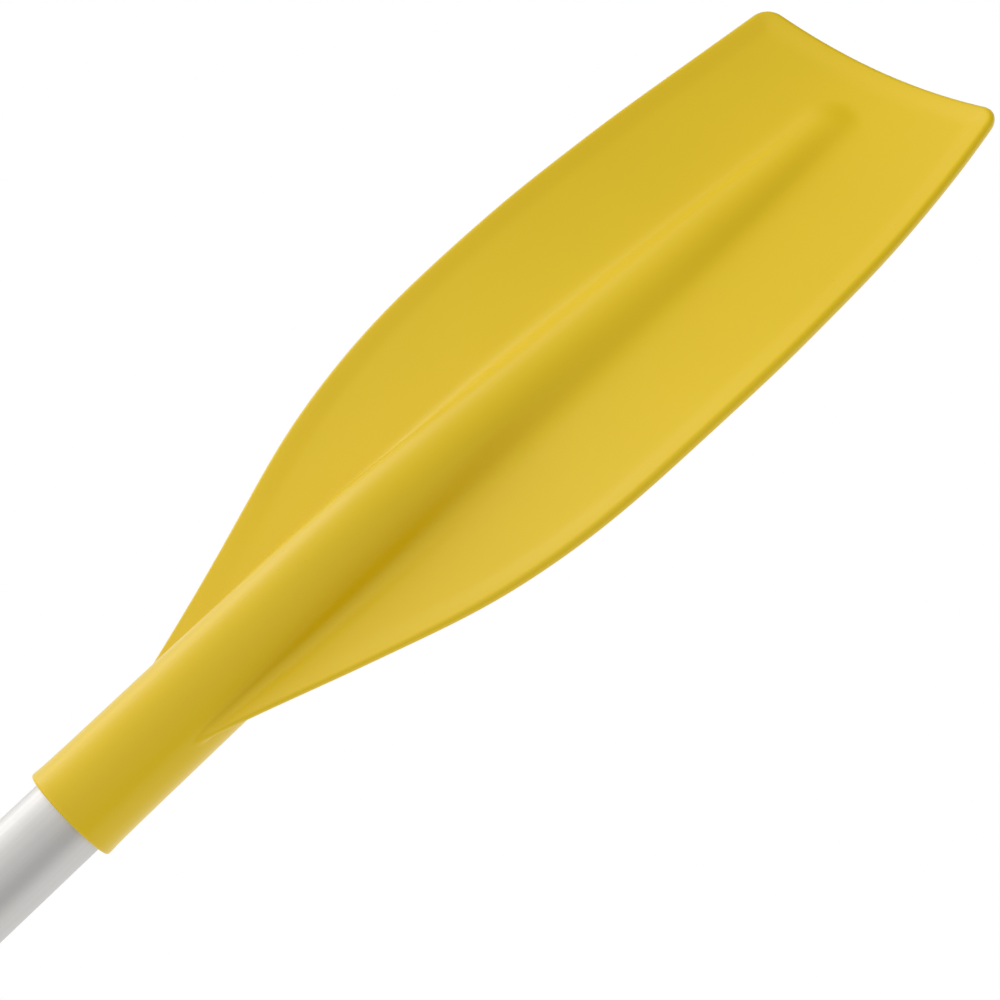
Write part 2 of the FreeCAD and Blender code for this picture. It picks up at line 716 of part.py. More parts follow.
def handle_grip():
    """Cup over the handle end, with grooves round it."""
    groove_count = 11
    first_groove = 14.0
    groove_slope = 1.1
    groove_floor = 1.4
    outer = dim("grip_dia") / 2
    root = outer - dim("grip_groove")
    inside_end = dim("handle_end") - flange_th
    start = inside_end - dim("grip_end_th")
    finish = start + dim("grip_len")
    profile = [(inside_end, 0.0), (start, 0.0)]
    profile += [(start + along, outer - drop) for along, drop in GRIP_END]
    for k in range(groove_count):
        edge = start + first_groove + dim("grip_pitch") * k
        profile += [(edge, outer), (edge + groove_slope, root),
                    (edge + (groove_slope + groove_floor), root),
                    (edge + (2 * groove_slope + groove_floor), outer)]
    # tapered open end and bore
    profile += [(finish - 9.0, outer), (finish - 5.0, outer - 1.2),
                (finish - 1.0, tube_outer + 1.5), (finish, tube_outer + 0.8),
                (finish, tube_outer), (inside_end, tube_outer)]
    return turned("handle_grip", profile)


def end_plug(name, face_x, sign):
    """Cup plug with a flange outside the tube; sign is the outward direction along X."""
    inward = -sign
    lead_len, lead_drop = 1.5, 1.0
    flange_r = tube_outer - 0.3
    return turned(name, [
        (face_x + flange_th * sign, 0.0), (face_x + flange_th * sign, tube_outer - 1.0),
        (face_x + (flange_th - 0.6) * sign, flange_r), (face_x, flange_r),
        (face_x, plug_r), (face_x + (plug_len - lead_len) * inward, plug_r),
        (face_x + plug_len * inward, plug_r - lead_drop),
        (face_x + plug_len * inward, plug_r - plug_wall),
        (face_x + plug_wall * inward, plug_r - plug_wall),
        (face_x + plug_wall * inward, 0.0)])


def joint_plug(name, x0):
    """Cup plug inside a tube, with two sealing lands; its floor is at x0."""
    x1 = x0 + plug_len
    land_break = 0.8
    land_end, waist_start = 5.0, 5.6
    waist_r = plug_r - land_break
    return turned(name, [
        (x0, 0.0), (x0, waist_r), (x0 + land_break, plug_r), (x0 + land_end, plug_r),
        (x0 + waist_start, waist_r), (x1 - waist_start, waist_r),
        (x1 - land_end, plug_r), (x1 - land_break, plug_r), (x1, waist_r),
        (x1, plug_r - plug_wall), (x0 + plug_wall, plug_r - plug_wall), (x0 + plug_wall, 0.0)])


def foam_float(name, x0, x1):
    radius = tube_inner - dim("float_slack")
    end_break = 1.0
    return turned(name, [
        (x0, 0.0), (x0, radius - end_break), (x0 + end_break, radius),
        (x1 - end_break, radius), (x1, radius - end_break), (x1, 0.0)])


# --------------------------------------------------------------------------
# Blade: its sheet, rim and spine are worked out with x measured from the mouth
# --------------------------------------------------------------------------
blade_length = size("blade_length")
wing_start = size("wing_start")


def spline_through(values):
    """Smooth curve through values equally spaced over the wings, as a function of x."""
    span = blade_length - wing_start
    curve = Part.BSplineCurve()
    curve.interpolate([Vector(wing_start + span * k / (len(values) - 1), value, 0)
                       for k, value in enumerate(values)])

    def value_at(x):
        low, high = curve.FirstParameter, curve.LastParameter
        if x <= wing_start:
            return curve.value(low).y
        if x >= blade_length:
            return curve.value(high).y
        # bisect for the parameter that lies at x
        for _ in range(60):
            middle = (low + high) / 2
            if curve.value(middle).x < x:
                low = middle
            else:
                high = middle
        return curve.value((low + high) / 2).y

    return value_at


half_width = spline_through([size("half_width_%02d" % k) for k in range(len(HALF_WIDTH))])
edge_height = spline_through([size("edge_height_%02d" % k) for k in range(len(EDGE_HEIGHT))])


def dish(x):
    """Depth of the hollow on the centre line."""
    growth = 1.35  # how late the hollow builds up from the wing start
    swell = 2.05  # extra depth ahead of the tip
    share = max(0.0, min(1.0, (x - wing_start) / (blade_length - wing_start)))
    return size("tip_dish") * share ** growth * (1.0 + swell * (1.0 - share))


def face_z(x, y, lift):
    """Height of the front face, raised by lift."""
    return edge_height(x) - dish(x) * (1.0 - (y / half_width(x)) ** 2) + lift


def curve_through(points):
    curve = Part.BSplineCurve()
    curve.interpolate(points)
    return curve.toShape()


def outline_wire(inset, level):
    """Plan outline at height level, drawn in by inset; closed inside the socket."""
    steps = 48
    slope_step = 0.5
    smallest_corner = 2.0
    corner_gap = 2.0  # side points this close to the corner arc are left out
    side = []
    for k in range(steps + 1):
        x = wing_start + (blade_length - wing_start) * k / steps
        width = half_width(x)
        after = min(blade_length, x + slope_step)
        before = max(wing_start, x - slope_step)
        slope = (half_width(after) - half_width(before)) / (after - before)
        norm = math.hypot(1.0, slope)
        side.append(Vector(x + inset * slope / norm, width - inset / norm, level))

    # corner at the crossing of the side's last direction and the tip line
    radius = max(smallest_corner, size("tip_corner") - inset)
    across = Vector(0, -1, 0)
    direction = (side[-1] - side[-4]).normalize()
    corner = side[-1] + direction * ((blade_length - inset - side[-1].x) / direction.x)
    turn = math.acos(max(-1.0, min(1.0, direction.dot(across))))
    half_corner = (math.pi - turn) / 2
    # distance from the corner to both tangent points of its arc
    back = radius / math.tan(half_corner)
    start = corner - direction * back
    stop = corner + across * back
    bisector = ((start - corner).normalize() + (stop - corner).normalize()).normalize()
    middle = corner + bisector * (radius / math.sin(half_corner) - radius)

    def mirror(point):
        return Vector(point.x, -point.y, point.z)

    kept = [point for point in side if point.x < start.x - corner_gap] + [start]
    return Part.Wire([
        curve_through(kept),
        Part.Arc(start, middle, stop).toShape(),
        Part.makeLine(stop, mirror(stop)),
        Part.Arc(mirror(stop), mirror(middle), mirror(start)).toShape(),
        curve_through([mirror(point) for point in kept[::-1]]),
        Part.makeLine(mirror(kept[0]), kept[0])])


def blade_feature(name, shape):
    """A document object for a shape worked out from the mouth."""
    obj = doc.addObject("Part::Feature", name)
    obj.Shape = shape
    return place(obj, mouth_x)


def outline_prism(name, inset):
    half_height = 45.0
    face = Part.Face(outline_wire(inset, -half_height))
    return blade_feature(name, face.extrude(Vector(0, 0, 2 * half_height)))


def strip(name, front_lift, back_lift):
    """Hollowed strip wider than the blade, between two lifted copies of its front face."""
    spans = 22
    before_wings, past_tip, past_side = 2.0, 6.0, 7.0
    first = wing_start - before_wings
    length = blade_length + past_tip - first
    sections = []
    for k in range(spans + 1):
        x = first + length * k / spans
        blade_x = max(wing_start, min(blade_length, x))
        width = half_width(blade_x) + past_side
        ys = [width * j / 4.0 for j in range(-4, 5)]
        front = [Vector(x, y, face_z(blade_x, y, front_lift)) for y in ys]
        back = [Vector(x, y, face_z(blade_x, y, back_lift)) for y in ys[::-1]]
        sections.append(Part.Wire([
            curve_through(front), Part.makeLine(front[-1], back[0]),
            curve_through(back), Part.makeLine(back[-1], front[0])]))
    return blade_feature(name, Part.makeLoft(sections, True, False))


def blade_web():
    """The hollowed sheet."""
    return common("blade_web", strip("blade_web_strip", 0.0, -size("sheet_th")),
                  outline_prism("blade_plan", 0.0))


def blade_rim():
    """Band along the outline, standing above both faces of the sheet."""
    rise = size("rim_rise")
    return common("blade_rim_band", strip("blade_rim_strip", rise, -size("sheet_th") - rise),
                  cut("blade_rim_plan", outline_prism("blade_plan_outer", 0.0),
                      outline_prism("blade_plan_inner", size("rim_width"))))


def blade_spine():
    """Loft through ellipses from the socket down to the sheet near the tip."""
    points_round = 24
    wires = []
    for k in range(len(SPINE)):
        at, wide, front, back = [size("spine_%s_%02d" % (column, k))
                                 for column, _ in SPINE_COLUMNS]
        centre = (front + back) / 2
        tall = (front - back) / 2
        angles = [2 * math.pi * j / points_round for j in range(points_round)]
        curve = Part.BSplineCurve()
        curve.interpolate([Vector(at, wide * math.cos(angle), centre + tall * math.sin(angle))
                           for angle in angles], PeriodicFlag=True)
        wires.append(Part.Wire([curve.toShape()]))
    return blade_feature("blade_spine", Part.makeLoft(wires, True, False))


def blade_socket():
    """Round socket with a rolled mouth, overlapping the start of the spine."""
    socket_r = dim("socket_dia") / 2
    mouth_r = dim("mouth_dia") / 2
    roll_end = mouth_x + dim("mouth_roll")
    finish = mouth_x + dim("spine_at_00") + 0.5
    return turned("blade_socket", [
        (mouth_x, 0.0), (mouth_x, mouth_r - 1.0), (mouth_x + 0.3, mouth_r - 0.3),
        (mouth_x + 1.0, mouth_r), (roll_end - 1.0, mouth_r - 0.05),
        (roll_end + 1.0, socket_r + 0.15), (mouth_x + 30.0, socket_r),
        (finish, socket_r), (finish, 0.0)])


def blade_core():
    """Tool for the tube's bore, with a chamfered mouth, and the tapered hollow behind it."""
    overrun = 5.0
    mouth_break = 0.8
    tip_len = 2.0
    bore_r = tube_outer + dim("bore_slack")
    bore_end = mouth_x + dim("bore_depth")
    core_end = mouth_x + dim("core_end")
    return turned("blade_core", [
        (mouth_x - overrun, 0.0), (mouth_x - overrun, bore_r + mouth_break),
        (mouth_x, bore_r + mouth_break), (mouth_x + mouth_break, bore_r),
        (bore_end, bore_r), (bore_end, dim("core_dia") / 2),
        (core_end, dim("core_tip_dia") / 2), (core_end + tip_len, 0.0)])


def blade():
    # joined one after another: spine and socket first, then the sheet, then its rim
    tool_high = 30.0
    stem = join("blade_stem", blade_spine(), blade_socket())
    solid = join("blade_with_rim", join("blade_with_web", stem, blade_web()), blade_rim())
    tools = [blade_core()]
    for k, x in enumerate(blade_rivets_x):
        tools.append(hole("blade_rivet_hole_%d" % k, x, MINUS_Z, rivet_hole_r, high=tool_high))
        tools.append(radial("blade_rivet_seat_%d" % k, x, MINUS_Z,
                            dim("rivet_seat"), tool_high, dim("rivet_seat_dia") / 2))
    return cut("blade", solid, *tools)


def blade_rivets():
    return fuse("blade_rivets", *[
        blind_rivet("blade_rivet_" + tag, x, MINUS_Z, dim("rivet_seat"), tube_inner)
        for tag, x in zip(("one", "two"), blade_rivets_x)])


# --------------------------------------------------------------------------
# Build every piece; each object's name is the name of its file
# --------------------------------------------------------------------------
PLUG_BEFORE_SPIGOT = 4.0
PLUG_AFTER_SPIGOT = 6.0

pieces = [
    inboard_tube(),
    outboard_tube(),
    joint_spigot(),
    joint_seal_ring(),
    spigot_rivets(),
    snap_button(),
    button_spring(),
    rowlock_sleeve(),
    sleeve_rivets(),
    stop_collar(),
    collar_washers(),
    collar_screw(),
    collar_nut(),
    handle_grip(),
    end_plug("handle_end_plug", dim("handle_end"), -1.0),
    end_plug("blade_end_plug", tube_end, 1.0),
    joint_plug("inboard_joint_plug", spigot_start - PLUG_BEFORE_SPIGOT - plug_len),
    joint_plug("outboard_joint_plug", spigot_finish + PLUG_AFTER_SPIGOT),
    foam_float("inboard_float", dim("float_in_start"), dim("float_in_finish")),
    foam_float("outboard_float", dim("float_out_start"), dim("float_out_finish")),
]
doc.recompute()
pieces += [blade(), blade_rivets()]
doc.recompute()

# Check every object, then write one STEP file for each piece
for obj in doc.Objects:
    if "Invalid" in obj.State or "Error" in obj.State:
        raise RuntimeError("%s did not build: %s" % (obj.Name, obj.State))

os.makedirs("parts", exist_ok=True)
for old in os.listdir("parts"):
    if old.endswith(".step"):
        os.remove(os.path.join("parts", old))
for obj in pieces:
    name = obj.Name
    obj.Label = name
    shape = obj.Shape
    if shape.isNull() or not shape.isValid():
        raise RuntimeError("%s has no valid shape" % name)
    if not shape.Solids or shape.Volume <= 0:
        raise RuntimeError("%s is not solid" % name)
    shape.exportStep(os.path.join("parts", name + ".step"))
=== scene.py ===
"""An oar lying along X: grip at the -X end, rowlock sleeve about x = 0, blade at the +X end
with its hollow front face up (+Z) and its back down (-Z).

Scene units are metres. Shapes are worked out in millimetres and divided by MM when built.
"""
import bmesh
import bpy
import json
import math
import numpy as np
from functools import cached_property
from mathutils import Matrix, Vector


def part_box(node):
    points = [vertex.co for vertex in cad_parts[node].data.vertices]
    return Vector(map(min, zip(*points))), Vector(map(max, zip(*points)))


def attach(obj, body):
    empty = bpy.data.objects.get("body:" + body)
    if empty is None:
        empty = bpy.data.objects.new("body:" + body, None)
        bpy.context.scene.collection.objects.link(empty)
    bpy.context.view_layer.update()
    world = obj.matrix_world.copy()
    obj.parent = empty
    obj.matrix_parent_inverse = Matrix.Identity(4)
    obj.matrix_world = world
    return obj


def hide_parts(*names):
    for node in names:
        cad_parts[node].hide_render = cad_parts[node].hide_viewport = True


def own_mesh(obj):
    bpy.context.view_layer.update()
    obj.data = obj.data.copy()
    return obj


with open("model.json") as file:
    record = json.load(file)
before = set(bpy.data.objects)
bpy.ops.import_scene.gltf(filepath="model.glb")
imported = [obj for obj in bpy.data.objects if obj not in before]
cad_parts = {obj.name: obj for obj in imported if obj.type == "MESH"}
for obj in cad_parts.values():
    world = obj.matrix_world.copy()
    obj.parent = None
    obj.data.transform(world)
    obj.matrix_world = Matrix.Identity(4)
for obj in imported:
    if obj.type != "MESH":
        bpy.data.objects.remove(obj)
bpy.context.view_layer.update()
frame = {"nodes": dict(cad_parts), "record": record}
NODES = frame["nodes"]
MM = 1000.0  # millimetres in a metre


# ---------------------------------------------------------------------------
# node helpers
# ---------------------------------------------------------------------------
NOISE_SPAN = (0.3, 0.7)  # the range most noise values fall in


class Nodes:
    """Adds nodes and links to one node tree."""

    def __init__(self, tree):
        self.tree = tree

    def put(self, socket, value):
        """Links a socket into an input, or sets the input's value."""
        if isinstance(value, bpy.types.NodeSocket):
            self.tree.links.new(value, socket)
        else:
            socket.default_value = value

    def node(self, kind, inputs=None, **settings):
        node = self.tree.nodes.new(kind)
        for name, value in settings.items():
            setattr(node, name, value)
        for key, value in (inputs or {}).items():
            self.put(node.inputs[key], value)
        return node

    def math(self, operation, a, b=0.0):
        return self.node("ShaderNodeMath", {0: a, 1: b}, operation=operation).outputs[0]


class Material(Nodes):
    """A new material, built round its Principled shader."""

    def __init__(self, name):
        self.material = bpy.data.materials.new(name)
        self.material.use_nodes = True
        super().__init__(self.material.node_tree)
        self.shader = self.tree.nodes["Principled BSDF"]

    @cached_property
    def position(self):
        """Object coordinates, in metres."""
        return self.node("ShaderNodeTexCoord").outputs["Object"]

    def surface(self, **values):
        """Sets the shader's inputs, named with underscores for spaces."""
        for name, value in values.items():
            self.put(self.shader.inputs[name.replace("_", " ")], value)

    def noise(self, scale, detail=3.0, roughness=0.55, vector=None):
        node = self.node("ShaderNodeTexNoise", {
            "Scale": scale, "Detail": detail, "Roughness": roughness,
            "Vector": vector or self.position})
        return node.outputs["Fac"]

    def stretched_noise(self, scales, detail=3.0, roughness=0.6):
        """Noise with its own scale along each of x, y and z."""
        mapping = self.node("ShaderNodeMapping", {"Scale": scales, "Vector": self.position})
        return self.noise(1.0, detail, roughness, mapping.outputs[0])

    def remap(self, value, to, source=NOISE_SPAN):
        node = self.node("ShaderNodeMapRange", {
            "Value": value, "From Min": source[0], "From Max": source[1],
            "To Min": to[0], "To Max": to[1]})
        return node.outputs[0]

    def mix(self, factor, a, b):
        node = self.node("ShaderNodeMix", data_type="RGBA")
        for key, value in ((0, factor), (6, a), (7, b)):
            self.put(node.inputs[key], value)
        return node.outputs[2]

    def bump(self, height, strength, distance, normal=None):
        inputs = {"Strength": strength, "Distance": distance, "Height": height}
        if normal is not None:
            inputs["Normal"] = normal
        return self.node("ShaderNodeBump", inputs).outputs[0]

    def worn_edge(self, pointiness, amount):
        """How far a sharp outer edge is rubbed, up to amount, broken up by a coarse noise."""
        geometry = self.node("ShaderNodeNewGeometry")
        edge = self.remap(geometry.outputs["Pointiness"], source=pointiness, to=(0.0, amount))
        patches = self.remap(self.noise(scale=90.0), source=(0.35, 0.6), to=(0.25, 1.0))
        return self.math("MULTIPLY", edge, patches)


def srgb(*channels):
    """sRGB 0-255 to a linear colour."""
    out = []
    for c in channels:
        c /= 255.0
        out.append(c / 12.92 if c <= 0.04045 else ((c + 0.055) / 1.055) ** 2.4)
    return (*out, 1.0)


def cool_grey(tone):
    return srgb(tone, tone, tone + 1)


# ---------------------------------------------------------------------------
# materials
# ---------------------------------------------------------------------------
def blade_plastic():
    """Smooth yellow moulding, faintly clouded, with a fine grain over a slight ripple."""
    mat = Material("moulded_yellow")
    cloud = mat.noise(scale=9.0)
    fine = mat.noise(scale=420.0, detail=2.0)
    light, dark = (0.845, 0.585, 0.0048, 1.0), (0.819, 0.565, 0.0036, 1.0)
    mat.surface(Base_Color=mat.mix(mat.remap(cloud, to=(0.0, 1.0)), dark, light))
    both = mat.math("ADD", mat.math("MULTIPLY", fine, 0.5), mat.math("MULTIPLY", cloud, 0.5))
    mat.surface(Roughness=mat.remap(both, to=(0.27, 0.34)))
    grain = mat.noise(scale=1500.0, detail=2.0)
    ripple = mat.noise(scale=150.0, detail=2.0)
    rippled = mat.bump(ripple, strength=0.05, distance=0.0008)
    mat.surface(Normal=mat.bump(grain, strength=0.10, distance=0.00025, normal=rippled))
    mat.surface(IOR=1.5, Specular_IOR_Level=0.37)
    return mat.material


def anodised():
    """Satin silver tube: fine lines along it, a faint cloud and a few handling marks."""
    mat = Material("anodised_tube")
    lines = mat.stretched_noise((5.0, 900.0, 900.0), detail=4.0)
    cloud = mat.noise(scale=11.0)
    rub = mat.stretched_noise((60.0, 14.0, 14.0), detail=2.0, roughness=0.5)
    dark, light = (0.618, 0.606, 0.590, 1.0), (0.648, 0.636, 0.620, 1.0)
    rubbed = (0.545, 0.540, 0.532, 1.0)
    tone = mat.mix(mat.remap(cloud, to=(0.0, 1.0)), dark, light)
    marks = mat.remap(rub, source=(0.62, 0.80), to=(0.0, 0.35))
    mat.surface(Base_Color=mat.mix(marks, tone, rubbed))
    mat.surface(Metallic=1.0, Roughness=mat.remap(lines, to=(0.46, 0.55)))
    mat.surface(Normal=mat.bump(lines, strength=0.10, distance=0.00006))
    return mat.material


def black_plastic(name, tone, roughness, grain):
    """Dark moulding: fine grain, faint rub marks round it and edges rubbed a little paler."""
    mat = Material(name)
    cloud = mat.noise(scale=30.0)
    fine = mat.noise(scale=grain, detail=2.0)
    rings = mat.stretched_noise((1100.0, 7.0, 7.0))
    marks = mat.remap(rings, source=(0.60, 0.78), to=(0.0, 0.35))
    base = mat.mix(cloud, cool_grey(tone), cool_grey(tone + 9))
    base = mat.mix(marks, base, cool_grey(tone + 30))
    worn = mat.worn_edge(pointiness=(0.512, 0.56), amount=0.55)
    mat.surface(Base_Color=mat.mix(worn, base, cool_grey(tone + 56)))
    matt = mat.remap(fine, to=(roughness - 0.05, roughness + 0.08))
    mat.surface(Roughness=mat.math("SUBTRACT", matt, mat.math("MULTIPLY", marks, 0.25)))
    grained = mat.bump(fine, strength=0.35, distance=0.00008)
    mat.surface(Normal=mat.bump(rings, strength=0.05, distance=0.00004, normal=grained))
    return mat.material


def soft_grip():
    """Soft moulding: matt, finely pitted, shinier and paler where its ridges are rubbed."""
    mat = Material("soft_grip")
    fine = mat.noise(scale=1400.0)
    cloud = mat.noise(scale=40.0)
    worn = mat.worn_edge(pointiness=(0.508, 0.55), amount=0.5)
    base = mat.mix(cloud, cool_grey(20), cool_grey(32))
    mat.surface(Base_Color=mat.mix(worn, base, srgb(66, 66, 66)))
    matt = mat.remap(cloud, to=(0.62, 0.75))
    mat.surface(Roughness=mat.math("SUBTRACT", matt, mat.math("MULTIPLY", worn, 0.3)))
    mat.surface(Normal=mat.bump(fine, strength=0.5, distance=0.00012))
    return mat.material


def bare_metal(name, tone, roughness):
    """Pale metal with a fine swirl; the colour varies from tone to a little paler."""
    mat = Material(name)
    swirl = mat.stretched_noise((700.0, 120.0, 700.0))
    paler = [channel + 14 for channel in tone]
    mat.surface(Base_Color=mat.mix(mat.noise(scale=60.0), srgb(*tone), srgb(*paler)))
    rough = mat.remap(swirl, to=(roughness - 0.06, roughness + 0.08))
    mat.surface(Metallic=1.0, Roughness=rough)
    mat.surface(Normal=mat.bump(swirl, strength=0.12, distance=0.00005))
    return mat.material


def foam():
    """Off-white foam with small cells, with painted shade in each cell's pit."""
    mat = Material("closed_cell_foam")
    cells = mat.node("ShaderNodeTexVoronoi", {"Scale": 700.0, "Vector": mat.position})
    height = cells.outputs["Distance"]
    # painted shade: the colour is darker where the bump's height is low, in the pits of the cells
    mat.surface(Base_Color=mat.mix(height, srgb(226, 226, 220), srgb(246, 246, 242)))
    mat.surface(Roughness=0.85, Normal=mat.bump(height, strength=0.6, distance=0.0003))
    return mat.material


MATERIALS = {
    "blade_plastic": blade_plastic(),
    "shaft_metal": anodised(),
    "rivet_metal": bare_metal("rivet_aluminium", tone=(206, 205, 203), roughness=0.36),
    "stainless": bare_metal("stainless", tone=(190, 188, 184), roughness=0.26),
    "black_plastic": black_plastic("black_moulding", tone=18, roughness=0.42, grain=900.0),
    "grip_plastic": soft_grip(),
    "seal_rubber": black_plastic("seal_rubber", tone=14, roughness=0.62, grain=1500.0),
    "foam": foam(),
}
for entry in frame["record"]["subparts"]:
    cad_mesh = NODES[entry["node"]].data
    cad_mesh.materials.clear()
    cad_mesh.materials.append(MATERIALS[entry["material_slot"]])


# ---------------------------------------------------------------------------
# mesh helpers. Sizes and places are in mm.
# ---------------------------------------------------------------------------
def placed(name, mesh, bm):
    """Writes a bmesh into a mesh and links it into the scene as an object."""
    bm.to_mesh(mesh)
    bm.free()
    obj = bpy.data.objects.new(name, mesh)
    bpy.context.scene.collection.objects.link(obj)
    return obj


def mesh_object(name, verts, faces, weld=0.0):
    """An object from points in metres, with points closer than weld joined."""
    mesh = bpy.data.meshes.new(name)
    mesh.from_pydata(verts, [], faces)
    bm = bmesh.new()
    bm.from_mesh(mesh)
    if weld:
        bmesh.ops.remove_doubles(bm, verts=bm.verts, dist=weld)
    bmesh.ops.recalc_face_normals(bm, faces=bm.faces)
    return placed(name, mesh, bm)


def shade(mesh, angle):
    """Shades smooth, with edges turning more than angle degrees left sharp."""
    mesh.polygons.foreach_set("use_smooth", [True] * len(mesh.polygons))
    mesh.set_sharp_from_angle(angle=math.radians(angle))


def weld_and_shade(mesh, angle):
    """Joins points that a cut left on top of each other, then shades."""
    bm = bmesh.new()
    bm.from_mesh(mesh)
    bmesh.ops.remove_doubles(bm, verts=bm.verts, dist=1e-6)
    bm.to_mesh(mesh)
    bm.free()
    shade(mesh, angle)


def merge(obj, tool, operation="DIFFERENCE"):
    """Combines obj with a tool solid, which is then gone."""
    modifier = obj.modifiers.new("join", "BOOLEAN")
    modifier.operation = operation
    modifier.solver = "EXACT"
    modifier.object = tool
    bpy.context.view_layer.update()
    evaluated = obj.evaluated_get(bpy.context.evaluated_depsgraph_get())
    mesh = bpy.data.meshes.new_from_object(evaluated)
    obj.modifiers.remove(modifier)
    obj.data = mesh
    mesh.name = obj.name
    bpy.data.objects.remove(tool)


def drill(at, direction, low, high, radius, high_radius=None):
    """A round cutter from low to high along direction, measured from the point at."""
    bm = bmesh.new()
    cone = bmesh.ops.create_cone(
        bm, cap_ends=True, segments=72, radius1=radius / MM,
        radius2=(high_radius or radius) / MM, depth=(high - low) / MM)
    bmesh.ops.translate(bm, verts=cone["verts"], vec=(0, 0, (high + low) / 2 / MM))
    turn = Vector((0, 0, 1)).rotation_difference(Vector(direction)).to_matrix().to_4x4()
    bm.transform(Matrix.Translation([c / MM for c in at]) @ turn)
    return placed("drill", bpy.data.meshes.new("drill"), bm)


def prism(x0, x1, outline, bevel=0.0):
    """A prism along X over a (y, z) outline, with the edges of its two ends rounded."""
    bm = bmesh.new()
    ends = [[bm.verts.new((x / MM, y / MM, z / MM)) for y, z in outline] for x in (x0, x1)]
    count = len(outline)
    bm.faces.new(ends[0])
    bm.faces.new(ends[1][::-1])
    for k in range(count):
        after = (k + 1) % count
        bm.faces.new((ends[0][k], ends[1][k], ends[1][after], ends[0][after]))
    bmesh.ops.recalc_face_normals(bm, faces=bm.faces)
    if bevel:
        rim = [e for e in bm.edges if abs(e.verts[0].co.x - e.verts[1].co.x) < 1e-9]
        bmesh.ops.bevel(bm, geom=rim, offset=bevel / MM, segments=4, profile=0.5,
                        affect="EDGES", clamp_overlap=True)
    return placed("prism", bpy.data.meshes.new("prism"), bm)


def dress(obj, body, slot, node):
    obj.data.materials.clear()
    obj.data.materials.append(MATERIALS[slot])
    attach(obj, body)
    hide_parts(node)


# ---------------------------------------------------------------------------
# blade dimensions, in mm. Blade x runs from the socket's mouth to the tip.
# ---------------------------------------------------------------------------
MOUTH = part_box("blade")[0].x * MM
LENGTH = (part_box("blade")[1].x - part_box("blade")[0].x) * MM
WING = 44.0  # x of the first station of the two tables below
# half width in plan and height of the side edge, at even stations from WING to LENGTH
HALF_WIDTH = [17.0, 28.6, 41.6, 54.9, 67.3, 75.9, 81.0, 83.2, 84.0, 84.1, 82.9, 81.0, 77.7,
              73.4, 68.0]
EDGE_HEIGHT = [4.3, 3.5, 4.0, 5.1, 2.9, -0.9, -1.5]
ROOT_TAPER = 0.4  # loss of half width per mm from WING back to the mouth
EDGE_LIFT = 0.3  # added to every edge height
ROOT_LIFT = 1.1  # added again near the wing's start
# the oval stem that carries the shaft and fades into the wing: x, half width, top z, bottom z
STEM = [
    (0.0, 21.20, 21.2, -21.2), (126.0, 21.20, 21.2, -21.2), (160.0, 21.05, 20.1, -20.8),
    (200.0, 20.20, 16.3, -19.6), (240.0, 18.50, 11.5, -17.9), (285.0, 16.10, 6.2, -16.6),
    (330.0, 13.50, 1.5, -16.2), (375.0, 10.80, -2.8, -16.4), (415.0, 8.10, -6.9, -17.0),
    (435.0, 6.30, -9.6, -17.0), (450.0, 5.00, -11.9, -16.9), (466.0, 3.20, -14.0, -16.2),
    (482.0, 1.5, -15.2, -15.6),
]
# x, how far the stem swells outward at the mouth
MOUTH_FLARE = [(0.0, 0.45), (3.0, 0.40), (6.0, 0.16), (30.0, 0.0), (60.0, 0.0)]
# x, size of the blend between stem and wing
FILLET = [
    (0.0, 0.02), (40.0, 0.02), (52.0, 0.8), (60.0, 1.8), (75.0, 2.8), (100.0, 3.8),
    (130.0, 4.8), (180.0, 6.6), (260.0, 9.2), (340.0, 10.0), (400.0, 9.6), (440.0, 9.0),
    (466.0, 8.0), (482.0, 6.0),
]
# x, radius: from the bore's floor out to the mouth, round its lip and onto the outside
BORE_FLOOR = 122.0
BORE_RADIUS = 17.55
BORE_AND_LIP = [(x, BORE_RADIUS) for x in (BORE_FLOOR, 90.0, 60.0, 30.0, 10.0)] + [
    (1.6, 17.57), (0.75, 17.75), (0.25, 18.12), (0.0, 18.7), (0.0, 20.55), (0.12, 21.05),
    (0.45, 21.45), (0.95, 21.63), (1.5, 21.66),
]
TIP_DISH = 10.0  # depth of the hollow at the tip
SHEET = 3.2  # thickness of the wing
FRONT_RISE, BACK_RISE = 1.2, 2.0  # what the rim adds to the sheet on its front and back
FRONT_RIM, BACK_RIM = (2.0, 13.0), (4.6, 10.5)  # distance in from the edge where it fades
RIM_FLAT = 0.22  # half of the flat left between the rim's two roundings
TIP_CORNER = 10.7  # plan radius of the tip's corners
OUTLINE_START = 20.0  # x at which the plan outline begins
RIVETS = (42.0, 84.0)
SEAT_RADIUS = 5.7
SEAT_Z = -20.3
SEAT_CUTTER = 6.0  # height of the cutter for a rivet's seat

# mesh rows and points
HALF = 62  # steps round a section from top centre to the edge, and again to bottom centre
GRID = 0.25  # spacing in y of the table of plan distances
TRACE_STEP = 0.3  # step length when walking round a section
MAX_MOVE = 0.3  # longest correction back onto the outline


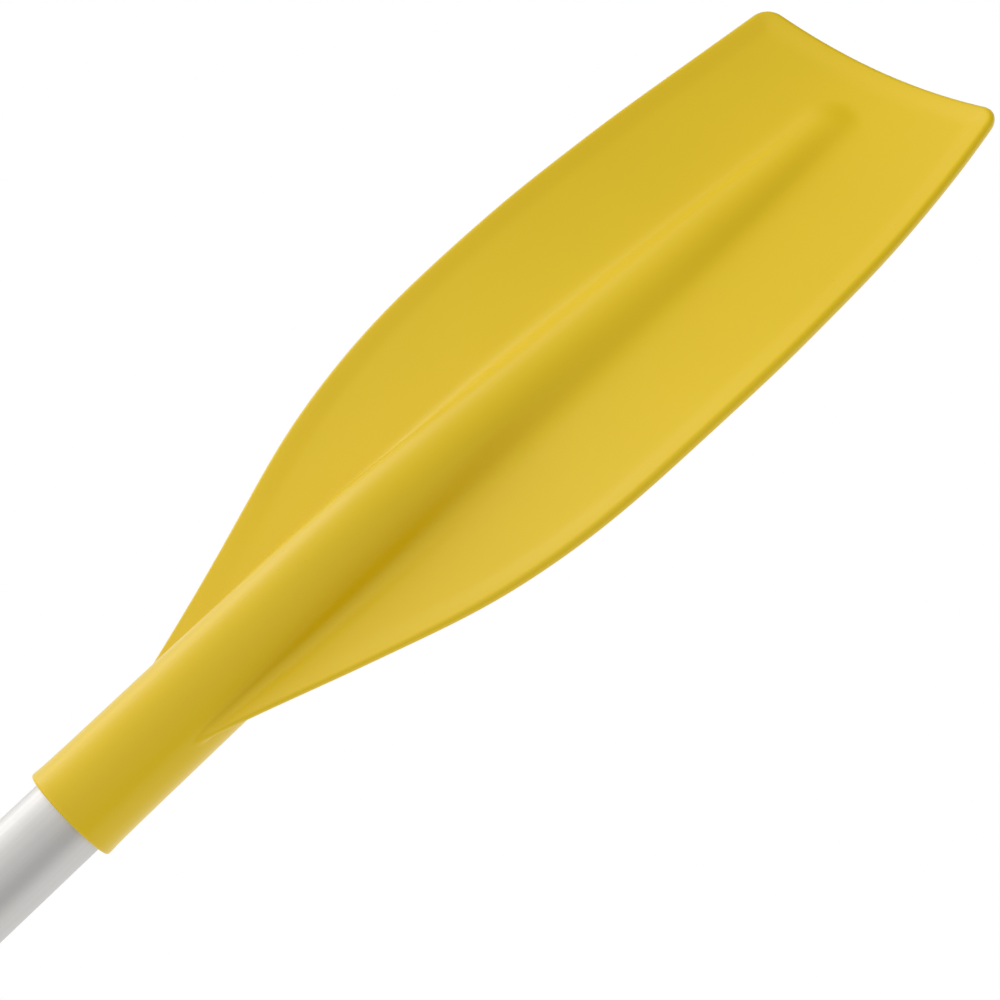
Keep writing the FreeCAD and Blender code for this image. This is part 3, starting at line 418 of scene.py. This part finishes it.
# ---------------------------------------------------------------------------
# curves through the stations
# ---------------------------------------------------------------------------
def spline(xs, ys):
    """Cubic spline with not-a-knot ends."""
    xs, ys = np.asarray(xs, float), np.asarray(ys, float)
    count = len(xs)
    gap = np.diff(xs)
    system = np.zeros((count, count))
    target = np.zeros(count)
    for i in range(1, count - 1):
        system[i, i - 1:i + 2] = gap[i - 1], 2 * (gap[i - 1] + gap[i]), gap[i]
        target[i] = 6 * ((ys[i + 1] - ys[i]) / gap[i] - (ys[i] - ys[i - 1]) / gap[i - 1])
    system[0, :3] = gap[1], -(gap[0] + gap[1]), gap[0]
    system[-1, -3:] = gap[-1], -(gap[-1] + gap[-2]), gap[-2]
    bend = np.linalg.solve(system, target)

    def curve(x):
        x = np.clip(np.asarray(x, float), xs[0], xs[-1])
        i = np.clip(np.searchsorted(xs, x) - 1, 0, count - 2)
        left, right = xs[i + 1] - x, x - xs[i]
        return ((bend[i] * left ** 3 + bend[i + 1] * right ** 3) / (6 * gap[i])
                + (ys[i] / gap[i] - bend[i] * gap[i] / 6) * left
                + (ys[i + 1] / gap[i] - bend[i + 1] * gap[i] / 6) * right)

    return curve


def monotone(xs, ys):
    """Shape-preserving cubic through the points."""
    xs, ys = np.asarray(xs, float), np.asarray(ys, float)
    gap = np.diff(xs)
    chord = np.diff(ys) / gap
    slope = np.zeros(len(xs))
    for i in range(1, len(xs) - 1):
        if chord[i - 1] * chord[i] > 0:
            before, after = 2 * gap[i] + gap[i - 1], gap[i] + 2 * gap[i - 1]
            slope[i] = (before + after) / (before / chord[i - 1] + after / chord[i])
    slope[0], slope[-1] = chord[0], chord[-1]

    def curve(x):
        x = np.clip(np.asarray(x, float), xs[0], xs[-1])
        i = np.clip(np.searchsorted(xs, x) - 1, 0, len(xs) - 2)
        s = (x - xs[i]) / gap[i]
        return ((1 + 2 * s) * (1 - s) ** 2 * ys[i] + s * (1 - s) ** 2 * gap[i] * slope[i]
                + s * s * (3 - 2 * s) * ys[i + 1] + s * s * (s - 1) * gap[i] * slope[i + 1])

    return curve


def ease(start, stop, x):
    """0 before start, 1 after stop and a smooth step between."""
    s = np.clip((x - start) / (stop - start), 0.0, 1.0)
    return s * s * (3 - 2 * s)


def blurred(values, reach, width):
    """Gaussian blur of evenly spaced values."""
    kernel = np.exp(-0.5 * (np.arange(-reach, reach + 1) / width) ** 2)
    kernel /= kernel.sum()
    return np.convolve(np.pad(values, reach, mode="edge"), kernel, "valid")


wing_half_width = spline(np.linspace(WING, LENGTH, len(HALF_WIDTH)), HALF_WIDTH)
edge_height = spline(np.linspace(WING, LENGTH, len(EDGE_HEIGHT)), EDGE_HEIGHT)
stem_x, *stem_columns = zip(*STEM)
stem_half, stem_top, stem_low = [monotone(stem_x, column) for column in stem_columns]
mouth_flare = monotone(*zip(*MOUTH_FLARE))
fillet = monotone(*zip(*FILLET))


# ---------------------------------------------------------------------------
# the blade's plan and rim
# ---------------------------------------------------------------------------
def half_width(x):
    """Half width in plan, without the tip's rounded corners."""
    return np.where(x < WING, HALF_WIDTH[0] - (WING - x) * ROOT_TAPER, wing_half_width(x))


def dish(x):
    """Depth of the hollow front face below its side edges."""
    part = np.clip((x - WING) / (LENGTH - WING), 0, 1)
    return TIP_DISH * part ** 1.35 * (1.0 + 2.05 * (1.0 - part))


def plan_outline():
    """The +Y half of the plan outline as a polyline, round the tip's corner past the axis."""
    xs = np.linspace(OUTLINE_START, LENGTH, 700)
    side = np.stack([xs, half_width(xs)], -1)
    corner = side[-1]
    heading = corner - side[-12]
    heading = heading / np.linalg.norm(heading)
    half_turn = (math.pi - math.acos(np.clip(-heading[1], -1, 1))) / 2
    back = TIP_CORNER / math.tan(half_turn)
    start, stop = corner - heading * back, corner + np.array([0, -1.0]) * back
    inward = (start - corner) / back + (stop - corner) / back
    inward = inward / np.linalg.norm(inward)
    centre = corner + inward * TIP_CORNER / math.sin(half_turn)
    first = math.atan2(*(start - centre)[::-1])
    last = math.atan2(*(stop - centre)[::-1])
    arc = np.array([centre + TIP_CORNER * np.array([math.cos(a), math.sin(a)])
                    for a in np.linspace(first, last, 40)])
    tip = np.stack([np.full(60, LENGTH), np.linspace(stop[1], -5.0, 60)], -1)
    return np.vstack([side[side[:, 0] < start[0]], arc, tip[1:]])


OUTLINE = plan_outline()


def edge_reach(x):
    """Half width of the outline at x, with the tip's rounded corner."""
    if x <= OUTLINE_START:
        return float(half_width(x))
    along = OUTLINE[:, 0]
    i = np.argmax(along >= LENGTH - 1e-9)
    return float(np.interp(x, along[:i + 1], OUTLINE[:i + 1, 1]))


def plan_distance(x, ys):
    """Signed distance in plan from (x, ys) to the outline, negative inside."""
    reach = edge_reach(x)
    if x <= OUTLINE_START:
        return ys - reach
    start, stop = OUTLINE[:-1], OUTLINE[1:]
    near = np.abs(start[:, 0] - x) < 45.0
    start, stop = start[near], stop[near]
    point = np.stack([np.full_like(ys, x), ys], -1)[:, None, :]
    piece = (stop - start)[None]
    s = np.clip(((point - start[None]) * piece).sum(-1) / (piece ** 2).sum(-1), 0, 1)
    offset = (start[None] + s[..., None] * piece) - point
    distance = np.sqrt((offset ** 2).sum(-1)).min(1)
    return np.where((ys < reach) & (x <= LENGTH), -distance, distance)


def edge_rise(x):
    """How much thicker the rim is than the sheet, front and back, along the blade."""
    return FRONT_RISE * ease(60.0, 200.0, x), BACK_RISE * ease(90.0, 330.0, x)


def edge_radius(x):
    front, back = edge_rise(x)
    return (SHEET + front + back) / 2 - RIM_FLAT


def blade_rows():
    """The x of every section, closest at the wing's start and round the tip."""
    tip_rows = LENGTH - 11.0
    spans = [  # start, stop, step
        (2.2, 34.0, 3.0), (35.0, 72.0, 0.8), (72.8, 124.0, 1.4),
        (126.0, LENGTH - 30.0, 2.6), (LENGTH - 30.0, tip_rows, 1.2),
    ]
    xs = [x for span in spans for x in np.arange(*span)]
    part = np.linspace(0.0, 1.0, 24)[1:]
    xs += list(tip_rows + 8.6 * np.sin(part * math.pi / 2) ** 0.9)
    radius = float(edge_radius(LENGTH))
    rounding = np.radians([4, 16, 28, 40, 52, 62, 71, 79])
    xs += [LENGTH - radius * (1 - math.sin(angle)) for angle in rounding]
    xs = sorted(set(round(x, 4) for x in xs if x < LENGTH - 0.035))
    xs = [x for i, x in enumerate(xs) if i == 0 or x - xs[i - 1] > 0.03]
    return np.array(xs + [LENGTH - 0.02])


# ---------------------------------------------------------------------------
# the blade's cross sections
# ---------------------------------------------------------------------------
def measured(points, edge_z):
    """An outline's running length, its points and the length at which it passes the edge."""
    step = np.hypot(*np.diff(points, axis=0).T)
    along = np.concatenate([[0], np.cumsum(step)])
    z = points[:, 1]
    crossings = np.nonzero((z[:-1] > edge_z) & (z[1:] <= edge_z))[0]
    i = max(crossings, key=lambda j: points[j, 0])
    part = (z[i] - edge_z) / (z[i] - z[i + 1])
    return along, points, along[i] + part * step[i]


def point_shares(along, points, edge):
    """Where a ring's points go, closer where the outline bends.

    Shares run 0 to 1 from top centre to the edge and 1 to 2 from there to bottom centre.
    """
    total = along[-1]
    even = np.linspace(0, total, int(total / 0.1) + 2)
    y, z = [np.interp(even, along, points[:, axis]) for axis in (0, 1)]
    heading_y, heading_z = [blurred(np.gradient(v, even), 12, 4.0) for v in (y, z)]
    turn = np.abs(np.gradient(np.unwrap(np.arctan2(heading_z, heading_y)), even))
    density = 1 / 3.2 + 7.0 * blurred(turn, 30, 11.0)
    pieces = (density[1:] + density[:-1]) / 2 * np.diff(even)
    weight = np.concatenate([[0], np.cumsum(pieces)])
    edge_weight = np.interp(edge, even, weight)
    stops = np.concatenate([np.linspace(0, edge_weight, HALF + 1),
                            np.linspace(edge_weight, weight[-1], HALF + 1)[1:]])
    place = np.interp(stops, weight, even)
    return np.concatenate([place[:HALF + 1] / edge,
                           1 + (place[HALF + 1:] - edge) / (total - edge)])


class Sections:
    """Every cross section at once, as a distance-like field that is negative inside."""

    def __init__(self, xs):
        self.x = xs
        flare = mouth_flare(xs)
        top, low = stem_top(xs) + flare, stem_low(xs) - flare
        self.stem_half = stem_half(xs) + flare
        self.stem_z, self.stem_rise = (top + low) / 2, (top - low) / 2
        self.edge_z = edge_height(xs) + EDGE_LIFT + ROOT_LIFT * (1 - ease(60.0, 120.0, xs))
        self.dish = dish(xs)
        self.fillet = fillet(xs)
        self.half_width = half_width(xs)
        self.front, self.back = edge_rise(xs)
        self.radius = edge_radius(xs)
        self.stem_gone = 22.0 * ease(440.0, 480.0, xs) ** 1.6  # the stem dies away at the tip
        grid = np.arange(0.0, 96.0, GRID)
        self.plan = np.stack([plan_distance(x, grid) for x in xs])
        self.rows = np.arange(len(xs))

    def face(self, y):
        """Height of the front face, without its rim."""
        across = np.clip(np.abs(y) / self.half_width, 0, 1)
        return self.edge_z - self.dish * (1.0 - across ** 2)

    def field(self, y, z):
        rise = z - self.stem_z
        oval = (y / self.stem_half) ** 2 + (rise / self.stem_rise) ** 2 - 1
        steep = 2 * np.sqrt(y * y / self.stem_half ** 4 + rise ** 2 / self.stem_rise ** 4) + 1e-9
        stem = np.clip(oval / steep, -8, 200) + self.stem_gone
        # plan distance, read from the table
        part = np.clip(np.abs(y) / GRID, 0, self.plan.shape[1] - 1.001)
        i = part.astype(int)
        part = part - i
        plan = self.plan[self.rows, i] * (1 - part) + self.plan[self.rows, i + 1] * part
        # the wing, as a slab with a rounded edge
        top = self.face(y) + self.front * (1 - ease(*FRONT_RIM, -plan))
        low = self.face(y) - SHEET - self.back * (1 - ease(*BACK_RIM, -plan))
        middle, half = (top + low) / 2, (top - low) / 2
        out_y, out_z = plan + self.radius, np.abs(z - middle) - half + self.radius
        wing = (np.hypot(np.maximum(out_y, 0), np.maximum(out_z, 0))
                + np.minimum(np.maximum(out_y, out_z), 0) - self.radius)
        # smooth union of the two
        blend = np.clip(0.5 + 0.5 * (wing - stem) / self.fillet, 0, 1)
        return wing * (1 - blend) + stem * blend - self.fillet * blend * (1 - blend)

    def slope(self, y, z, reach=0.004):
        """The field and its slopes along y and z."""
        f = self.field(np.stack([y, y + reach, y - reach, y, y]),
                       np.stack([z, z, z, z + reach, z - reach]))
        return f[0], (f[1] - f[2]) / (2 * reach), (f[3] - f[4]) / (2 * reach)

    def top_centre(self):
        """Height of each section's top on the axis, by bisection."""
        low = np.where(self.x > 462.0, self.face(0.0 * self.x) - SHEET / 2, self.stem_z)
        high = low + 30.0
        for _ in range(48):
            middle = (low + high) / 2
            inside = self.field(0 * middle, middle) < 0
            low, high = np.where(inside, middle, low), np.where(inside, high, middle)
        return (low + high) / 2

    def trace(self):
        """Walks each outline from its top centre round the +Y side to its bottom centre."""
        z = self.top_centre()
        y = 0 * z
        path = [np.stack([y, z], -1)]
        stop = np.full(len(y), -1)
        _, slope_y, slope_z = self.slope(y, z)
        for n in range(1, 1100):
            steep = np.hypot(slope_y, slope_z) + 1e-9
            y, z = y + TRACE_STEP * slope_z / steep, z - TRACE_STEP * slope_y / steep
            for _ in range(2):
                value, slope_y, slope_z = self.slope(y, z)
                square = np.maximum(slope_y * slope_y + slope_z * slope_z, 0.02)
                move = np.clip(value / square, -MAX_MOVE, MAX_MOVE)
                y, z = y - move * slope_y, z - move * slope_z
            _, slope_y, slope_z = self.slope(y, z)
            path.append(np.stack([y, z], -1))
            stop[(y < 0) & (n > 8) & (stop < 0)] = n
            if (stop > 0).all():
                break
        if (stop < 0).any():
            raise SystemExit("a blade section did not close at x = %s" % self.x[stop < 0][:4])
        path = np.array(path)
        outlines = []
        for row in self.rows:
            points = path[:stop[row] + 1, row].copy()
            # the last point is brought back onto the axis
            part = points[-2, 0] / (points[-2, 0] - points[-1, 0])
            points[-1] = points[-2] + (points[-1] - points[-2]) * part
            points[-1, 0] = 0.0
            outlines.append(points)
        return outlines

    def rings(self):
        """Each section as 2 * HALF + 1 points from top to bottom centre, the middle one
        on the edge."""
        on_wing = ease(28.0, 62.0, self.x)
        reach = np.array([edge_reach(x) for x in self.x])
        rim_z = self.face(reach) - (SHEET + self.back - self.front) / 2
        edge_z = self.stem_z * (1 - on_wing) + rim_z * on_wing
        outlines = [measured(points, z) for points, z in zip(self.trace(), edge_z)]
        shares = np.array([point_shares(*outline) for outline in outlines])
        rings = []
        for x, (along, points, edge) in zip(self.x, outlines):
            # shares change slowly from ring to ring, so that points run in smooth lines
            near = np.exp(-0.5 * ((self.x - x) / 9.0) ** 2)
            share = (shares * near[:, None]).sum(0) / near.sum()
            place = np.where(share <= 1, share * edge, edge + (share - 1) * (along[-1] - edge))
            ring = np.stack([np.interp(place, along, points[:, axis]) for axis in (0, 1)], -1)
            ring[0, 0] = ring[-1, 0] = 0.0
            rings.append(ring)
        return rings


def build_blade():
    """One closed skin: bore, lip, outside and tip, with two seats cut into its back."""
    xs = blade_rows()
    halves = Sections(xs).rings()
    angles = np.arctan2(halves[0][:, 1], halves[0][:, 0])
    circle = np.stack([np.cos(angles), np.sin(angles)], -1)
    rings = [(x, radius * circle) for x, radius in BORE_AND_LIP] + list(zip(xs, halves))
    count = len(circle)
    full = 2 * count - 2
    verts, faces = [], []
    for x, half in rings:
        loop = np.vstack([half, half[-2:0:-1] * np.array([-1.0, 1.0])])
        verts += [((MOUTH + x) / MM, y / MM, z / MM) for y, z in loop]
    for i in range(len(rings) - 1):
        for j in range(full):
            a, b = i * full + j, i * full + (j + 1) % full
            faces.append((a, b, b + full, a + full))
    # floor of the bore
    centre = len(verts)
    verts.append(((MOUTH + BORE_FLOOR) / MM, 0.0, 0.0))
    faces += [(centre, (j + 1) % full, j) for j in range(full)]
    # tip wall: strips from front row to back row, on the +Y side and mirrored
    base = (len(rings) - 1) * full
    for i in range(count // 2):
        strip = sorted({i, i + 1, count - 2 - i, count - 1 - i})
        faces.append([base + j for j in strip])
        faces.append([base + (full - j) % full for j in strip[:1] + strip[:0:-1]])
    obj = mesh_object("blade_moulding", verts, faces, weld=2e-6)
    for x in RIVETS:
        merge(obj, drill((MOUTH + x, 0, 0), (0, 0, 1), SEAT_Z - SEAT_CUTTER, SEAT_Z, SEAT_RADIUS))
        shade(obj.data, 40)
    dress(obj, "outboard", "blade_plastic", "blade")


# ---------------------------------------------------------------------------
# profiles spun about the shaft axis, in mm
# ---------------------------------------------------------------------------
ROUND = np.linspace(0, 2 * math.pi, 160, endpoint=False)


def rounded(points, closed):
    """A profile of (x, r, corner radius) as a polyline with its corners rounded."""
    count = len(points)
    line = []
    for i, (x, r, radius) in enumerate(points):
        corner = np.array([x, r], float)
        if radius <= 0 or (not closed and i in (0, count - 1)):
            line.append(corner)
            continue
        before = np.array(points[i - 1][:2], float) - corner
        after = np.array(points[(i + 1) % count][:2], float) - corner
        length_before, length_after = np.linalg.norm(before), np.linalg.norm(after)
        before, after = before / length_before, after / length_after
        half = math.acos(np.clip(before @ after, -1, 1)) / 2
        if half > math.radians(88):
            line.append(corner)
            continue
        back = min(radius / math.tan(half), length_before * 0.49, length_after * 0.49)
        radius = back * math.tan(half)
        inward = (before + after) / np.linalg.norm(before + after)
        centre = corner + inward * radius / math.sin(half)
        start, stop = corner + before * back - centre, corner + after * back - centre
        first, last = math.atan2(start[1], start[0]), math.atan2(stop[1], stop[0])
        turn = (last - first + math.pi) % (2 * math.pi) - math.pi
        steps = max(3, int(abs(turn) / math.radians(13)) + 1)
        for k in range(steps + 1):
            angle = first + turn * k / steps
            line.append(centre + radius * np.array([math.cos(angle), math.sin(angle)]))
    kept = [line[0]]
    for point in line[1:]:
        if np.linalg.norm(point - kept[-1]) > 0.004:
            kept.append(point)
    if closed and np.linalg.norm(kept[0] - kept[-1]) < 0.004:
        kept.pop()
    return kept


def divided(line, longest, closed=False):
    """The polyline with its long pieces cut up."""
    out = []
    for a, b in zip(line, line[1:] + (line[:1] if closed else [])):
        n = max(1, int(math.ceil(np.linalg.norm(b - a) / longest)))
        out += [a + (b - a) * k / n for k in range(n)]
    return out if closed else out + [line[-1]]


def spun(name, line, closed, angles=ROUND, shape=None):
    """Spins a profile about X, from +Y towards +Z. shape(x, r, angle) gives another radius."""
    count = len(angles)
    verts, faces, rings = [], [], []
    for x, r in line:
        if r < 1e-4:
            rings.append([len(verts)])
            verts.append((x / MM, 0.0, 0.0))
            continue
        rings.append(list(range(len(verts), len(verts) + count)))
        for angle in angles:
            q = shape(x, r, angle) if shape else r
            verts.append((x / MM, q * math.cos(angle) / MM, q * math.sin(angle) / MM))
    for a, b in zip(rings, rings[1:] + (rings[:1] if closed else [])):
        for k in range(count):
            m = (k + 1) % count
            if len(a) == 1:
                faces.append((a[0], b[m], b[k]))
            elif len(b) == 1:
                faces.append((a[k], a[m], b[0]))
            else:
                faces.append((a[k], a[m], b[m], b[k]))
    return mesh_object(name, verts, faces)


def extent(node):
    """First x, last x and top z of a CAD piece."""
    low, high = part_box(node)
    return low.x * MM, high.x * MM, high.z * MM


TUBE_RADIUS = extent("inboard_tube")[2]

# ---------------------------------------------------------------------------
# handle grip: closed at its -X end, ringed with grooves, over the tube's end
# ---------------------------------------------------------------------------
GROOVES = 11
GROOVE_PITCH = 9.0
FIRST_GROOVE = 14.0  # from the grip's closed end
GROOVE_DEPTH = 1.4
FLUTES = 48  # shallow flutes round the lands between the grooves
FLUTE_DEPTH = 0.16
SEAMS = (0.0, math.pi)  # angles of the raised seams, on the +Y and -Y sides
SEAM_HEIGHT = 0.10
SEAM_HALF_WIDTH = 0.35


def seam_angles():
    """Evenly spread angles with a few more beside each seam."""
    angles = list(np.linspace(0, 2 * math.pi, 288, endpoint=False))
    for seam in SEAMS:
        angles += list(seam + 0.017 * np.array((-1.0, -0.5, 0.0, 0.5, 1.0)))
    angles = sorted(set(round(a % (2 * math.pi), 6) for a in angles))
    return [a for i, a in enumerate(angles) if i == 0 or a - angles[i - 1] > 0.0012]


def build_grip():
    start, end, outer = extent("handle_grip")
    root = outer - GROOVE_DEPTH
    bore = TUBE_RADIUS
    # x, radius, corner radius
    line = [(start + 1.1, 0.0, 0), (start + 1.1, 7.6, 0.5), (start, 8.5, 0.5),
            (start, outer - 4.6, 5.0), (start + 4.4, outer, 6.0)]
    for k in range(GROOVES):
        x = start + FIRST_GROOVE + GROOVE_PITCH * k
        line += [(x - 0.35, outer - 0.02, 1.1), (x + 0.95, root, 0.75),
                 (x + 2.65, root, 0.75), (x + 3.95, outer - 0.02, 1.1)]
    line += [(end - 9.0, outer, 9.0), (end - 4.6, outer - 1.4, 6.0), (end - 0.8, bore + 1.6, 1.4),
             (end, bore + 0.75, 0.5), (end, bore + 0.02, 0.2), (end - 8.0, bore + 0.02, 0),
             (start + 5.1, bore + 0.02, 0), (start + 5.1, 0.0, 0)]
    first = start + FIRST_GROOVE - 1.5
    last = start + FIRST_GROOVE + GROOVE_PITCH * GROOVES + 1.0

    def shape(x, r, angle):
        """Raises the seams and cuts the flutes on the grip's outside."""
        if r < bore + 1.2 or x < start + 3.0:
            return r
        off = min(abs((angle - s + math.pi) % (2 * math.pi) - math.pi) for s in SEAMS)
        seam = SEAM_HEIGHT * max(0.0, 1.0 - off * r / SEAM_HALF_WIDTH)
        land = (ease(root + 0.9, outer - 0.1, r) * ease(first, first + 2.5, x)
                * (1 - ease(last - 3.0, last, x)))
        flute = FLUTE_DEPTH * (0.5 - 0.5 * math.cos(angle * FLUTES)) ** 2
        return min(r - land * flute + seam * (1 - land * 0.4), outer)

    path = divided(rounded(line, closed=False), longest=2.2)
    obj = spun("handle_grip_moulding", path, False, seam_angles(), shape)
    weld_and_shade(obj.data, 50)
    dress(obj, "inboard", "grip_plastic", "handle_grip")


# ---------------------------------------------------------------------------
# rowlock sleeve: a tube round the shaft with two narrow grooves round it
# ---------------------------------------------------------------------------
SLEEVE_GROOVE = 80.0  # distance of each groove from x = 0
SLEEVE_HOLE_X = 88.0  # a countersunk hole on each of the +Y and -Y sides


def build_sleeve():
    start, end, outer = extent("rowlock_sleeve")
    inner = TUBE_RADIUS + 0.05
    low, high = -SLEEVE_GROOVE, SLEEVE_GROOVE
    floor_r = outer - 0.5
    # x, radius, corner radius
    line = [(start, inner, 0.25), (start, inner + 1.2, 0.5), (start + 2.2, outer - 0.6, 1.6),
            (start + 4.4, outer, 2.5),
            (low - 1.25, outer, 0.25), (low - 0.95, floor_r, 0.2),
            (low - 0.05, floor_r, 0.2), (low + 0.25, outer, 0.25),
            (high - 0.25, outer, 0.25), (high + 0.05, floor_r, 0.2),
            (high + 0.95, floor_r, 0.2), (high + 1.25, outer - 0.12, 0.25),
            (end - 10.0, outer - 0.12, 14.0), (end, inner + 1.0, 0.8), (end, inner, 0.25)]
    path = divided(rounded(line, closed=True), longest=5.0, closed=True)
    obj = spun("rowlock_sleeve_moulding", path, True)
    at = (SLEEVE_HOLE_X, 0, 0)
    for side in (1, -1):
        merge(obj, drill(at, (0, side, 0), 12.0, 25.0, 1.65))
        merge(obj, drill(at, (0, side, 0), outer - 1.7, outer + 0.1, 1.7, 3.3))
    weld_and_shade(obj.data, 38)
    dress(obj, "inboard", "black_plastic", "rowlock_sleeve")


# ---------------------------------------------------------------------------
# stop collar: a split ring with a lug on top, slotted and drilled across for a screw
# ---------------------------------------------------------------------------
COLLAR_BORE = 20.55
LUG_HALF_WIDTH = 13.0
LUG_CORNER = 3.0
COLLAR_GAP = 3.0
SCREW_HOLE_RADIUS = 2.7
SCREW_Z = 33.5


def build_collar():
    start, end, top = extent("stop_collar")
    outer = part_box("stop_collar")[1].y * MM
    middle = (start + end) / 2
    # x, radius, corner radius
    line = [(start, 17.8, 0), (start, outer - 2.2, 1.0), (start + 2.2, outer, 2.4),
            (end - 2.2, outer, 2.4), (end, outer - 2.2, 1.0), (end, 17.8, 0)]
    path = divided(rounded(line, closed=True), longest=5.0, closed=True)
    obj = spun("stop_collar_moulding", path, True)
    side, cut = LUG_HALF_WIDTH, LUG_CORNER
    # y, z, corner radius
    lug = rounded([(-side, 19.0, 0), (side, 19.0, 0), (side, top - cut, 2.5),
                   (side - cut, top, 2.5), (-side + cut, top, 2.5),
                   (-side, top - cut, 2.5)], closed=True)
    merge(obj, prism(start + 1.0, end - 1.0, lug, bevel=0.9), "UNION")
    merge(obj, drill((middle, 0, 0), (1, 0, 0), -15.0, 15.0, COLLAR_BORE))
    half = COLLAR_GAP / 2
    gap = [(-half, 10.0), (half, 10.0), (half, top + 5.0), (-half, top + 5.0)]
    merge(obj, prism(start - 5.0, end + 5.0, gap))
    merge(obj, drill((middle, 0, SCREW_Z), (0, 1, 0), -40.0, 40.0, SCREW_HOLE_RADIUS))
    weld_and_shade(obj.data, 38)
    dress(obj, "collar", "black_plastic", "stop_collar")


def build_spring():
    """The snap button's leaf spring, copied whole from the CAD piece and attached to the inboard
    body."""
    obj = bpy.data.objects.new("button_leaf_spring", NODES["button_spring"].data.copy())
    bpy.context.scene.collection.objects.link(obj)
    dress(obj, "inboard", "stainless", "button_spring")
    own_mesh(obj)


build_blade()
build_grip()
build_sleeve()
build_collar()
build_spring()


# ---------------------------------------------------------------------------
# stage, light, camera
# ---------------------------------------------------------------------------
def floor_white():
    """Glowing white seen from above, clear from below so that it doesn't hide the object."""
    mat = Material("floor_white")
    mat.surface(Base_Color=(0.0, 0.0, 0.0, 1.0), Roughness=1.0, Specular_IOR_Level=0.0)
    seen = mat.node("ShaderNodeLightPath").outputs["Is Camera Ray"]
    glow = mat.remap(seen, source=(0.0, 1.0), to=(0.999, 1.0))
    mat.surface(Emission_Color=(1, 1, 1, 1), Emission_Strength=glow)
    sides = mat.node("ShaderNodeMixShader", {
        0: mat.node("ShaderNodeNewGeometry").outputs["Backfacing"],
        1: mat.shader.outputs[0],
        2: mat.node("ShaderNodeBsdfTransparent").outputs[0]})
    mat.put(mat.tree.nodes["Material Output"].inputs["Surface"], sides.outputs[0])
    return mat.material


def build_floor():
    bpy.ops.mesh.primitive_plane_add(size=14.0, location=(0.4, 0.0, -0.55))
    floor = bpy.context.object
    floor.name = "floor"
    floor.data.materials.append(floor_white())


# Soft studio light as lobes: direction towards the light, strength, focus (the power its
# falloff is raised to). The strongest comes from the blade's far, +Y side.
LIGHT = [
    ((-0.355, 0.863, -0.358), 0.032, 4.0),
    ((-0.706, 0.647, 0.286), 0.504, 4.0),
    ((-0.644, 0.052, 0.764), 0.434, 4.0),
    ((-0.020, 0.813, 0.582), 1.051, 4.0),
    ((-0.134, 0.332, 0.934), 0.662, 4.0),
    ((-0.624, -0.760, 0.181), 0.065, 4.0),
    ((-0.204, -0.573, 0.793), 0.789, 4.0),
    ((0.678, 0.502, 0.537), 0.069, 4.0),
    ((0.335, -0.051, 0.941), 0.303, 4.0),
    ((-0.101, -0.995, -0.017), 0.145, 4.0),
    ((0.355, -0.863, 0.358), 0.363, 4.0),
    ((0.682, -0.415, 0.603), 0.048, 4.0),
    ((0.000, 0.954, 0.301), 2.602, 16.0),
]
LIGHT_COLOUR = (0.8, 0.8, 0.8, 1.0)
BACKDROP_STRENGTH = 1.25  # what the camera sees directly; times the colour it is white


def build_world():
    world = bpy.data.worlds.new("studio")
    bpy.context.scene.world = world
    world.use_nodes = True
    nodes = Nodes(world.node_tree)
    nodes.tree.nodes.clear()
    ray = nodes.node("ShaderNodeTexCoord").outputs["Generated"]
    total = None
    for direction, strength, focus in LIGHT:
        dot = nodes.node("ShaderNodeVectorMath", {0: ray, 1: direction}, operation="DOT_PRODUCT")
        facing = nodes.math("MAXIMUM", dot.outputs["Value"])
        lobe = nodes.math("MULTIPLY", nodes.math("POWER", facing, focus), strength)
        total = lobe if total is None else nodes.math("ADD", total, lobe)
    seen = nodes.node("ShaderNodeLightPath").outputs["Is Camera Ray"]
    pick = nodes.node("ShaderNodeMix", {0: seen, 2: total, 3: BACKDROP_STRENGTH})
    background = nodes.node("ShaderNodeBackground", {
        "Color": LIGHT_COLOUR, "Strength": pick.outputs[0]})
    nodes.node("ShaderNodeOutputWorld", {"Surface": background.outputs[0]})


SENSOR_WIDTH = 36.0
FOCAL_RATIO = 1.6614  # focal length over sensor width
CAMERA_AT = ((MOUTH + 70.5) / MM, -0.4222, 0.5368)
CAMERA_BACK = (-0.2038, -0.5735, 0.7935)  # from the view towards the camera
CAMERA_RIGHT = (0.7063, -0.6474, -0.2865)


def build_camera():
    data = bpy.data.cameras.new("camera")
    camera = bpy.data.objects.new("camera", data)
    bpy.context.scene.collection.objects.link(camera)
    data.sensor_fit = "HORIZONTAL"
    data.sensor_width = SENSOR_WIDTH
    data.lens = FOCAL_RATIO * SENSOR_WIDTH
    data.clip_start = 0.01
    data.clip_end = 50.0
    back = Vector(CAMERA_BACK).normalized()
    right = Vector(CAMERA_RIGHT)
    right = (right - back * right.dot(back)).normalized()
    turn = Matrix((right, back.cross(right), back)).transposed().to_4x4()
    camera.matrix_world = Matrix.Translation(CAMERA_AT) @ turn
    bpy.context.scene.camera = camera


build_floor()
build_world()
view = bpy.context.scene.view_settings
view.view_transform = "Standard"
view.look = "None"
view.exposure = 0.0
view.gamma = 1.0
build_camera()
